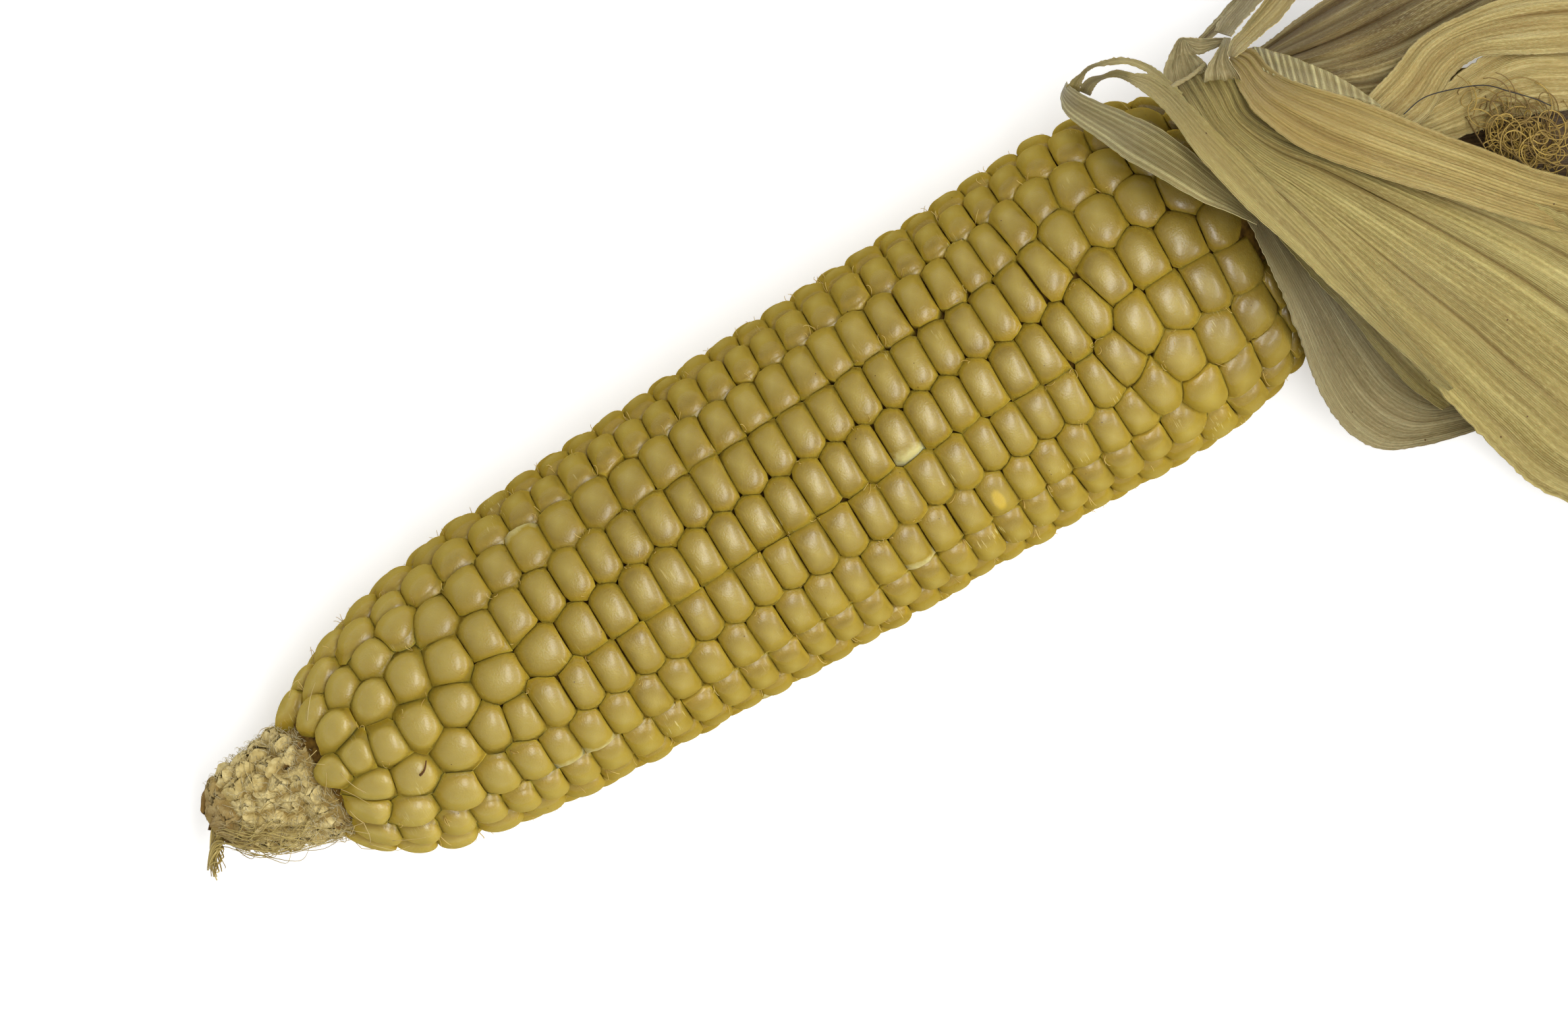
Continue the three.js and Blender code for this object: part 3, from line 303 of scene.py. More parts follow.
def ear_place(points):
    """The ear's own frame, tilted onto its rest point, in metres. What would sink into the ground is flat."""
    x, y, z = np.moveaxis(np.asarray(points, float), -1, 0)
    x = x - REST_X
    turned_x = x * math.cos(TILT) - z * math.sin(TILT)
    turned_z = x * math.sin(TILT) + z * math.cos(TILT) + REST_AXIS_HEIGHT
    return np.stack([turned_x, y, np.maximum(turned_z, 0)], -1) * MM


def husk_place(points):
    """The husk's places, in metres from the part's origin."""
    return (np.asarray(points, float) - (REST_X, 0, 0)) * MM


# ---- Mesh building ----

class Mesh:
    """Collects vertices, faces and numbers that belong to vertices, for one piece."""

    def __init__(self):
        self.vertices = []
        self.faces = []
        self.values = {}
        self.count = 0

    def add(self, vertices, faces, **values):
        """Takes in vertices, faces that count from the first of them, and numbers for them."""
        vertices = np.asarray(vertices, float).reshape(-1, 3)
        self.faces.extend(tuple(self.count + i for i in face) for face in faces)
        self.vertices.append(vertices)
        for name, value in values.items():
            self.values.setdefault(name, []).append(np.broadcast_to(value, len(vertices)).astype(float))
        self.count += len(vertices)

    def piece(self, name, material, slot, place, replaces=()):
        """Makes the object, and has it ride on the part's body for the nodes that it replaces."""
        data = bpy.data.meshes.new(name)
        points = place(np.concatenate(self.vertices))
        data.from_pydata(points.tolist(), [], self.faces)
        for key, chunks in self.values.items():
            layer = data.attributes.new(key, "FLOAT", "POINT")
            layer.data.foreach_set("value", np.concatenate(chunks).astype(np.float32))
        data.polygons.foreach_set("use_smooth", [True] * len(data.polygons))
        data.materials.append(material)
        data.update()
        made = bpy.data.objects.new(name, data)
        bpy.context.scene.collection.objects.link(made)
        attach(made, "root")
        for node in replaces:
            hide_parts(node)
        return made


def grid_faces(rows, columns, start=0, round_columns=False):
    """Four-cornered faces of a grid of vertices, row by row."""
    faces = []
    for i in range(rows - 1):
        for j in range(columns if round_columns else columns - 1):
            k = (j + 1) % columns
            a, b = start + i * columns + j, start + i * columns + k
            faces.append((a, b, b + columns, a + columns))
    return faces


def turned_solid(mesh, profile, sides, ripple=0.0, **values):
    """A closed solid of revolution round the ear's axis, with a seeded ripple over its radius."""
    draw = draws(3)
    alongs = np.array([p[0] for p in profile], float)
    radii = np.array([p[1] for p in profile], float)
    angles = np.linspace(0, TURN, sides, endpoint=False)
    flute = np.array([next(draw) - 0.5 for _ in range(sides)]) * ripple
    body = ear_point(alongs[:, None], angles[None, :], radii[:, None] + flute[None, :])
    ends = ear_point(alongs[[0, -1]], np.zeros(2), np.zeros(2))
    count = len(profile) * sides
    faces = grid_faces(len(profile), sides, round_columns=True)
    for j in range(sides):
        k = (j + 1) % sides
        faces.append((count, k, j))
        faces.append((count + 1, count - sides + j, count - sides + k))
    mesh.add(np.concatenate([body.reshape(-1, 3), ends]), faces, **values)


def strand(mesh, points, radius, sides=5, taper=1.0, **values):
    """A thread along points, closed at both ends, thinner towards its end by taper."""
    points = np.asarray(points, float)
    count = len(points)
    tangents = np.gradient(points, axis=0)
    tangents /= np.linalg.norm(tangents, axis=1)[:, None] + 1e-9
    normal = np.cross(tangents[0], (0.3, 0.2, 0.9))
    rings = []
    for i, (point, tangent) in enumerate(zip(points, tangents)):
        normal = normal - tangent * normal.dot(tangent)
        normal /= np.linalg.norm(normal) + 1e-9
        side = np.cross(tangent, normal)
        size = radius * (1 + (taper - 1) * i / (count - 1))
        turn = np.linspace(0, TURN, sides, endpoint=False)[:, None]
        rings.append(point + size * (np.cos(turn) * normal + np.sin(turn) * side))
    faces = grid_faces(count, sides, round_columns=True)
    faces.append(tuple(range(sides))[::-1])
    faces.append(tuple((count - 1) * sides + j for j in range(sides)))
    mesh.add(np.concatenate(rings), faces, **values)


def curve(points, count):
    """A smooth open curve through points (centripetal-like Catmull-Rom), sampled evenly in its parameter."""
    points = np.asarray(points, float)
    padded = np.concatenate([2 * points[:1] - points[1:2], points, 2 * points[-1:] - points[-2:-1]])
    at = np.linspace(0, len(points) - 1, count)
    span = np.minimum(at.astype(int), len(points) - 2)
    t = (at - span)[:, None]
    a, b, c, d = (padded[span + k] for k in range(4))
    return 0.5 * (2 * b + (c - a) * t + (2 * a - 5 * b + 4 * c - d) * t**2 + (3 * b - a - 3 * c + d) * t**3)


# ---- Studs: kernels and spikelets ----

def stud_sides(seeds, unroll_radius, ear_radius):
    """For each seed, its sides as (direction, distance, open), in millimetres on the ear's surface."""
    copies = []
    for seed in seeds:
        if seed["angle"] < WRAP_ANGLE:
            copies.append(dict(seed, angle=seed["angle"] + TURN))
        if seed["angle"] > TURN - WRAP_ANGLE:
            copies.append(dict(seed, angle=seed["angle"] - TURN))
    everyone = seeds + copies
    flat = [Vector((s["angle"] * unroll_radius, s["along"])) for s in everyone]
    _, edges, *_ = delaunay_2d_cdt(flat, [], [], 0, 1e-7)
    sides = [[] for _ in everyone]
    for a, b in edges:
        for here, there in ((a, b), (b, a)):
            if here >= len(seeds):
                continue
            radius = ear_radius(everyone[here]["along"])
            apart = flat[there] - flat[here]
            reach = apart.length / 2
            normal = np.array([apart.x, apart.y]) / apart.length
            scaled = np.array([normal[0] * unroll_radius / radius, normal[1]])
            size = np.linalg.norm(scaled)
            sides[here].append((scaled / size, reach / size, everyone[there]["ghost"]))
    return sides[:len(seeds)]


def stud_outline(sides, spokes, corner, gap_of):
    """How far a stud reaches along each spoke, and how much of that spoke meets an open side."""
    spoke = np.linspace(0, TURN, spokes, endpoint=False)
    ways = np.stack([np.cos(spoke), np.sin(spoke)], -1)
    total = np.zeros(spokes)
    opened = np.zeros(spokes)
    for normal, distance, is_open in sides:
        limit = min(distance, OPEN_SIDE) if is_open else distance - gap_of(normal, distance)
        share = np.clip(ways @ normal, 0, None) / max(limit, LEAST_SIDE)
        total += share**corner
        opened += share**corner * is_open
    return ways, total ** (-1 / corner), opened / total


def kernel_seeds():
    """Where every kernel lies: the tip's rings, then the rows, with ghosts past both ends to close cells."""
    draw = draws(11)
    seeds = []

    def place(along, angle, loose, ghost):
        """Adds a kernel, strayed from its place as far as loose lets it."""
        around = (angle + KERNEL_STRAY_ANGLE * loose * (next(draw) - 0.5)) % TURN
        shifted = along + KERNEL_STRAY_ALONG * loose * (next(draw) - 0.5)
        proud = KERNEL_STRAY_PROUD * (next(draw) - 0.5)
        seeds.append({"angle": around, "along": shifted, "proud": proud, "ghost": ghost})

    first_ring, first_count = TIP_RINGS[0]
    for i in range(first_count):
        place(first_ring - TIP_RING_SPACING, i * TURN / first_count, EDGE_LOOSENESS, True)
    for ring, (along, count) in enumerate(TIP_RINGS):
        for i in range(count):
            angle = (i + ROW_STAGGER * ring) * TURN / count
            if math.cos(angle) < UPPER_SIDE:
                place(along, angle, TIP_LOOSENESS, False)
    for along, degrees in TIP_KERNELS:
        place(along, math.radians(degrees), EDGE_LOOSENESS, False)
    for row in range(ROWS):
        row_angle = FIRST_ROW_ANGLE + row * TURN / ROWS
        twist_start, twist_end = BASE_TWIST_SPAN
        plain = [(0, row_angle), (twist_start, row_angle), (twist_end, row_angle + BASE_TWIST)]
        alongs, wander = UPPER_ROWS.get(row, ([], None))
        line = [(along, math.radians(degrees)) for along, degrees in wander] if wander else plain
        start = (row % 2) * ROW_STAGGER + ROW_START_SCATTER * (next(draw) - 0.5)
        next_along = ROWS_START + float(table(KERNEL_PITCH, ROWS_START)) * start
        for along in alongs:
            place(along, float(table(line, along)), EDGE_LOOSENESS, False)
            next_along = along + float(table(KERNEL_PITCH, along))
        while next_along < KERNELS_END:
            loose = float(table(KERNEL_LOOSENESS, next_along))
            place(next_along, float(table(line, next_along)), loose, False)
            next_along += float(table(KERNEL_PITCH, next_along))
        place(next_along, float(table(line, next_along)), EDGE_LOOSENESS, True)
        last = seeds[-1]
        if last["along"] < KERNELS_LAST:
            last["ghost"] = False
            beyond = last["along"] + float(table(KERNEL_PITCH, next_along))
            seeds.append(dict(last, along=beyond, ghost=True))
    return seeds


def slit(normal, distance):
    """Half the gap to a neighbour: almost none between rows, a dark slit between some in a row."""
    in_row = smoothstep(*KERNEL_SLIT_TURN, abs(normal[1]))
    chance = (math.sin(distance * 731.7) * 43758.5) % 1  # drawn from the distance, so both kernels agree
    past = max(0.0, chance - KERNEL_SLIT_CHANCE)
    return KERNEL_SEAM + in_row * KERNEL_LONGEST_GAP * past**2 / KERNEL_SLIT_SCALE


def dome_drop(reach, fullness):
    """How far a unit dome has dropped: a full ellipse, going on straight down past its steep part."""
    steep = 0.9
    inside = np.minimum(reach, steep)
    slope = steep ** (fullness - 1) * (1 - steep**fullness) ** (1 / fullness - 1)
    return 1 - (1 - inside**fullness) ** (1 / fullness) + slope * (reach - inside)


def lesser(one, other, sharpness):
    """The smaller of two sizes, with a rounded step from one to the other."""
    return (one**-sharpness + other**-sharpness) ** (-1 / sharpness)


def kernel(mesh, seed, sides, draw, milky, torn):
    """One kernel: a waxy dome on an outline that fits its neighbours, its sides going on down."""
    spokes = KERNEL_SPOKES
    corner, squareness, bulge_along, dome_share, fullness = (
        float(table(points, seed["along"]))
        for points in (KERNEL_CORNER, KERNEL_SQUARENESS, KERNEL_BULGE_ALONG, KERNEL_DOME, KERNEL_FULLNESS))
    ways, reach, opened = stud_outline(sides, spokes, corner, slit)
    full_reach = stud_outline(sides, spokes, KERNEL_FOOT_CORNER, slit)[1]
    half_width = (reach[0] + reach[spokes // 2]) / 2
    half_length = (reach[spokes // 4] + reach[3 * spokes // 4]) / 2
    round_reach = min(float(table(KERNEL_ROUND, seed["along"])) * math.sqrt(half_width * half_length),
                      float(table(KERNEL_LARGEST, seed["along"])))
    reach = lesser(reach, round_reach, KERNEL_ROUND_BLEND)
    half_width = (reach[0] + reach[spokes // 2]) / 2
    half_length = (reach[spokes // 4] + reach[3 * spokes // 4]) / 2
    dome = np.clip(dome_share * math.sqrt(half_width * half_length), *KERNEL_DOME_SPAN)
    tint, tilt_across, tilt_along = (next(draw) for _ in range(3))
    tilt = KERNEL_TILT * (np.array([tilt_across, tilt_along]) - 0.5)
    radius_here = float(table(EAR_PROFILE, seed["along"]))
    bare = radius_here - float(table(COB_PROFILE, seed["along"])) - dome
    vertices = [ear_point(seed["along"], seed["angle"], radius_here + seed["proud"])[None]]
    crown = [np.ones(1)]
    end = [np.zeros(1)]
    wound = [np.full(1, float(torn))]

    foot_start, foot_slope, foot_reach = KERNEL_FOOT
    foot = np.clip(KERNEL_FOOT_SPREAD * (full_reach - reach), 0, foot_reach) * (1 - opened)

    def ring(share, inset, below, spread=0.0):
        """A loop of vertices at a share of the way out, some way below the dome."""
        spot = ways * ((reach + foot * spread) * share * inset)[:, None]
        across = np.abs(spot[:, 0] / (half_width * KERNEL_BULGE_ACROSS)) ** squareness
        along = np.abs(spot[:, 1] / (half_length * bulge_along)) ** squareness
        bulge = (across + along) ** (1 / squareness)
        rim = KERNEL_RIM * (share + 0 * bulge)
        bulge = lesser(bulge, rim, KERNEL_RIM_BLEND)
        fillet_start, fillet_rest = KERNEL_FILLET_SPAN
        fillet = KERNEL_FILLET * max(0.0, (share - fillet_start) / fillet_rest) ** KERNEL_FILLET_CURVE
        drop = dome * dome_drop(bulge, fullness) + fillet + below + opened * below * bare / 4 - spot @ tilt
        alongs = seed["along"] + spot[:, 1]
        radius = table(EAR_PROFILE, alongs) + seed["proud"] - drop
        vertices.append(ear_point(alongs, seed["angle"] + spot[:, 0] / radius_here, radius))
        crown.append(np.full(spokes, 1 - share) - 0.2 * below)
        end.append(spot[:, 0] / half_width * milky)
        wound_width, wound_length, wound_back = KERNEL_WOUND
        away = (spot[:, 0] / (wound_width * half_width)) ** 2
        away = away + ((spot[:, 1] + wound_back) / (wound_length * half_length)) ** 2
        wound.append(np.clip(1 - away, 0, 1) * torn)

    for share in KERNEL_RINGS:
        ring(share, 1.0, 0.0)
    ring(1.0, 1.0, foot_start + foot_slope * foot, 1.0)
    for below, inset in KERNEL_SKIRT:
        ring(1.0, inset, below, 1.0)
    rings = len(KERNEL_RINGS) + 1 + len(KERNEL_SKIRT)
    faces = [(0, 1 + j, 1 + (j + 1) % spokes) for j in range(spokes)]
    faces += [face[::-1] for face in grid_faces(rings, spokes, start=1, round_columns=True)]
    pale_until, pale_span = KERNEL_PALE_SPAN
    pale = np.clip((pale_until - seed["along"]) / pale_span, 0, 1)
    mesh.add(np.concatenate(vertices), faces, crown=np.concatenate(crown), milky=np.concatenate(end),
             tint=tint, pale=pale, wound=np.concatenate(wound))


def make_kernels(material):
    """All the kernels, as an upper and a lower half."""
    seeds = kernel_seeds()
    sides = stud_sides(seeds, KERNEL_UNROLL_RADIUS, lambda along: float(table(EAR_PROFILE, along)))
    draw = draws(21)
    kept = [(seed, own) for seed, own in zip(seeds, sides) if not seed["ghost"]]
    places = np.stack([ear_point(seed["along"], seed["angle"], KERNEL_UNROLL_RADIUS) for seed, _ in kept])

    def nearest(along, degrees):
        """The number of the kernel nearest to a place."""
        middle = ear_point(along, math.radians(degrees), KERNEL_UNROLL_RADIUS)
        return int(np.argmin(np.linalg.norm(places - middle, axis=1)))

    milky = {nearest(along, degrees): end for along, degrees, end in MILKY_KERNELS}
    torn = nearest(*TORN_KERNEL)
    halves = {"kernels_upper": Mesh(), "kernels_lower": Mesh()}
    for index, (seed, own) in enumerate(kept):
        upper = math.cos(seed["angle"]) > 0
        kernel(halves["kernels_upper" if upper else "kernels_lower"], seed, own, draw, milky.get(index, 0),
               index == torn)
    for name, mesh in halves.items():
        mesh.piece(name, material, "kernel", ear_place, replaces=["kernels"])


def make_kernel_bed(material):
    """The dark chaff that shows in the slits between kernels."""
    mesh = Mesh()
    alongs = np.arange(16.5, 172, 3.0)
    profile = [(a, max(table(EAR_PROFILE, a) - BED_DEPTH, table(COB_PROFILE, a) + 0.2)) for a in alongs]
    profile += BED_END
    turned_solid(mesh, profile, BED_SIDES)
    mesh.piece("kernel_bed", material, "cob", ear_place)


def make_silk_scars(material):
    """Short golden ends of silk that stick out where two kernels of a row meet the next row."""
    mesh = Mesh()
    draw = draws(23)
    for seed in kernel_seeds():
        if seed["ghost"] or next(draw) > SCAR_SHARE:
            continue
        pitch = float(table(KERNEL_PITCH, seed["along"]))
        radius_here = float(table(EAR_PROFILE, seed["along"]))
        half_width = math.pi * radius_here / ROWS
        side = 1 if next(draw) > 0.5 else -1
        along = seed["along"] + pitch * (0.42 + 0.16 * next(draw))
        angle = seed["angle"] + side * (0.9 + 0.15 * next(draw)) * half_width / radius_here
        for _ in range(1 + int(2.6 * next(draw))):
            share = np.linspace(0, 1, 8)
            heading, bend = TURN * next(draw), 8.0 * (next(draw) - 0.5)
            long = 0.5 + 1.5 * next(draw) ** 2
            ways = heading + bend * share
            alongs = along + np.cumsum(np.cos(ways)) * long / 8
            angles = angle + np.cumsum(np.sin(ways)) * long / 8 / radius_here
            rise = 0.05 + 0.3 * next(draw)
            radius = table(EAR_PROFILE, alongs) - 1.7 + (1.5 + rise) * np.sin(1.6 * share)
            strand(mesh, ear_point(alongs, angles, radius), 0.06, sides=4, taper=0.5, tint=next(draw))
    mesh.piece("silk_scars", material, "silk", ear_place)


def make_sliver(material):
    """A brown chip of chaff that sticks to a kernel near the tip."""
    mesh = Mesh()
    share = np.linspace(0, 1, 10)
    start, degrees = CHIP_START
    alongs = start + CHIP_LENGTH * share
    angles = math.radians(degrees) + 0.085 * share - 0.015 * np.sin(3 * share)
    points = ear_point(alongs, angles, table(EAR_PROFILE, alongs) + 0.1 + 0.25 * np.sin(3 * share))
    strand(mesh, points, 0.2, sides=7, taper=0.5, tint=0.5)
    mesh.piece("chaff_sliver", material, "cob", ear_place)


def spikelet_seeds():
    """Where every spikelet of the bare tip lies, in rings."""
    draw = draws(5)
    seeds = []

    def ring(along, ghost):
        """Adds one ring of spikelets."""
        count = max(5, round(TURN * float(table(COB_PROFILE, along)) / SPIKELET_PITCH))
        start = next(draw) * TURN
        for i in range(count):
            angle = start + (i + SPIKELET_STRAY_AROUND * next(draw)) * TURN / count
            shifted = along + SPIKELET_STRAY_ALONG * (next(draw) - 0.5)
            proud = SPIKELET_STRAY_PROUD * (next(draw) - 0.5)
            seeds.append({"angle": angle % TURN, "along": shifted, "proud": proud, "ghost": ghost})

    ring(SPIKELETS_START - SPIKELET_PITCH, True)
    along = SPIKELETS_START
    while along < SPIKELETS_END:
        ring(along, False)
        along += SPIKELET_RING_SPACING
    ring(SPIKELETS_END + SPIKELET_PITCH, True)
    return seeds


def age_at(along):
    """How brown and dry the cob is: most at its very tip."""
    return np.clip((3.5 - along) / 4.5, 0, 1)


def sheet(mesh, upper, lower, **values):
    """A thin closed sheet between two grids of points."""
    rows, columns = upper.shape[:2]
    count = rows * columns
    top = grid_faces(rows, columns)
    faces = [face[::-1] for face in top] + [tuple(i + count for i in face) for face in top]
    rim = [i * columns for i in range(rows)]
    rim += [(rows - 1) * columns + j for j in range(1, columns)]
    rim += [i * columns + columns - 1 for i in range(rows - 2, -1, -1)]
    rim += [j for j in range(columns - 2, 0, -1)]
    for a, b in zip(rim, rim[1:] + rim[:1]):
        faces.append((a, b, b + count, a + count))
    mesh.add(np.concatenate([upper.reshape(-1, 3), lower.reshape(-1, 3)]), faces, **values)


def bract(mesh, seed, heading, reach, draw, tint):
    """A papery scale of a spikelet: up from its rim and in over its crown, with a ragged end."""
    rows, columns = BRACT_ROWS, BRACT_COLUMNS
    share = np.linspace(0, 1, rows)[:, None]
    spread = np.linspace(-1, 1, columns)[None, :]
    flare = next(draw)
    inwards = 0.75 + 0.4 * next(draw)
    half = reach * (0.75 + 0.3 * next(draw)) * np.sin(math.pi * (0.28 + 0.6 * share))
    ragged = share**3 * 0.5 * np.array([next(draw) for _ in range(columns)])[None, :]
    out = reach * (1.05 - inwards * share) + ragged
    side = half * spread + 0.15 * (next(draw) - 0.5) * share
    crumple = np.array([next(draw) - 0.5 for _ in range(rows * columns)]).reshape(rows, columns)
    crumple = BRACT_CRUMPLE * crumple
    rise = 0.45 * np.sin(math.pi * 0.6 * share) - 0.75 * (1 - share) ** 2.2 - 0.2 * spread**2
    rise = rise + 0.9 * flare**4 * share**2 + crumple
    alongs = seed["along"] + out * math.cos(heading) - side * math.sin(heading)
    rounds = (out * math.sin(heading) + side * math.cos(heading)) / float(table(COB_PROFILE, seed["along"]))
    radius = table(COB_PROFILE, alongs) - STUD_DEPTH + STUD_PROUD * seed["proud"] + rise
    upper = ear_point(alongs, seed["angle"] + rounds, radius)
    lower = ear_point(alongs, seed["angle"] + rounds, radius - BRACT_THICKNESS)
    crown = np.tile((share + 0 * spread).reshape(-1), 2)
    sheet(mesh, upper, lower, crown=crown, tint=tint, age=age_at(seed["along"]))


def cupule(mesh, along, angle, size):
    """An empty brown cup where a spikelet has dropped out."""
    spokes = CUPULE_SPOKES
    turn = np.linspace(0, TURN, spokes, endpoint=False)
    here = float(table(COB_PROFILE, along))
    vertices = []
    age = []
    for reach, rise, brown in CUPULE_RINGS:
        alongs = along + size * reach * CUPULE_LENGTH * np.cos(turn)
        ragged = rise + 0.25 * np.sin(5 * turn) + 0.15 * np.sin(9 * turn + 1) if rise > 0 else rise
        vertices.append(ear_point(alongs, angle + size * reach * np.sin(turn) / here, here + ragged))
        age.append(np.full(spokes, brown))
    vertices.append(ear_point(along, angle, here - CUPULE_FLOOR)[None])
    age.append(np.ones(1))
    rings = len(CUPULE_RINGS)
    faces = grid_faces(rings, spokes, round_columns=True)
    last = (rings - 1) * spokes
    faces += [(rings * spokes, last + (j + 1) % spokes, last + j) for j in range(spokes)]
    mesh.add(np.concatenate(vertices), faces, crown=0.5, tint=0.5, age=np.concatenate(age))


def make_cob(material):
    """The bare tip: spikelets wrapped in papery scales, and empty cups, on the cob's core."""
    mesh = Mesh()
    core = [(a, r - CORE_DEPTH) for a, r in COB_PROFILE if a < 15] + CORE_END
    turned_solid(mesh, core, CORE_SIDES, crown=0.0, tint=0.9, age=0.35)
    seeds = spikelet_seeds()
    sides = stud_sides(seeds, SPIKELET_UNROLL_RADIUS, lambda along: float(table(COB_PROFILE, along)))
    draw = draws(22)
    spokes = SPIKELET_SPOKES
    for seed, own in zip(seeds, sides):
        if seed["ghost"]:
            continue
        ways, reach, _ = stud_outline(own, spokes, SPIKELET_CORNER, lambda normal, distance: SPIKELET_GAP)
        reach = np.minimum(reach, SPIKELET_LARGEST)
        radius_here = float(table(COB_PROFILE, seed["along"]))
        tint = next(draw)
        crumple = np.array([next(draw) - 0.5 for _ in range(spokes)])
        top = radius_here - 0.5 + 0.5 * seed["proud"]
        vertices = [ear_point(seed["along"], seed["angle"], top)[None]]
        crown = [np.ones(1)]
        for share, drop in SPIKELET_RINGS:
            across, along = (ways * (reach * share)[:, None]).T
            alongs = seed["along"] + along
            radius = table(COB_PROFILE, alongs) - STUD_DEPTH + STUD_PROUD * seed["proud"] - drop
            radius = radius + STUD_CRUMPLE * crumple * share
            vertices.append(ear_point(alongs, seed["angle"] + across / radius_here, radius))
            crown.append(np.full(spokes, 1 - share))
        faces = [(0, 1 + j, 1 + (j + 1) % spokes) for j in range(spokes)]
        rings = len(SPIKELET_RINGS)
        faces += [face[::-1] for face in grid_faces(rings, spokes, start=1, round_columns=True)]
        mesh.add(np.concatenate(vertices), faces, crown=np.concatenate(crown), tint=tint,
                 age=age_at(seed["along"]))
        count = 3 + int(2 * next(draw))
        first = TURN * next(draw)
        for i in range(count):
            heading = first + TURN * (i + 0.35 * next(draw)) / count
            spoke = int(round((math.pi / 2 - heading) / TURN * spokes)) % spokes
            bract(mesh, seed, heading, float(reach[spoke]), draw, tint)
    for along, angle, size in CUPULES:
        cupule(mesh, along, angle, size)
    for _ in range(END_BRACTS):
        along = -0.9 + 2.8 * next(draw)
        seed = {"along": along, "angle": TURN * next(draw), "proud": 0.9 * next(draw) - 0.5}
        bract(mesh, seed, TURN * next(draw), 0.9 + 0.6 * next(draw), draw, next(draw))
    mesh.piece("cob_tip", material, "cob", ear_place, replaces=["cob"])


def make_shank(material):
    """The fluted stalk that the husk leaves grow on."""
    mesh = Mesh()
    alongs = np.linspace(SHANK_PROFILE[0][0], SHANK_PROFILE[-1][0], 26)
    turned_solid(mesh, [(a, table(SHANK_PROFILE, a)) for a in alongs], 64, ripple=0.3)
    mesh.piece("shank_stalk", material, "shank", ear_place, replaces=["shank"])


# ---- Husk ----

def cover_height(x, y, level):
    """The height of a husk leaf over a place, for its level in the pile."""
    crest = table(COVER_CREST, x) + HUSK_STEP * level
    half_width = table(COVER_HALF_WIDTH, x) + HUSK_STEP * level
    return COVER_EDGE_HEIGHT + HUSK_LIFT * level + crest / (1 + (np.abs(y) / half_width) ** 3)


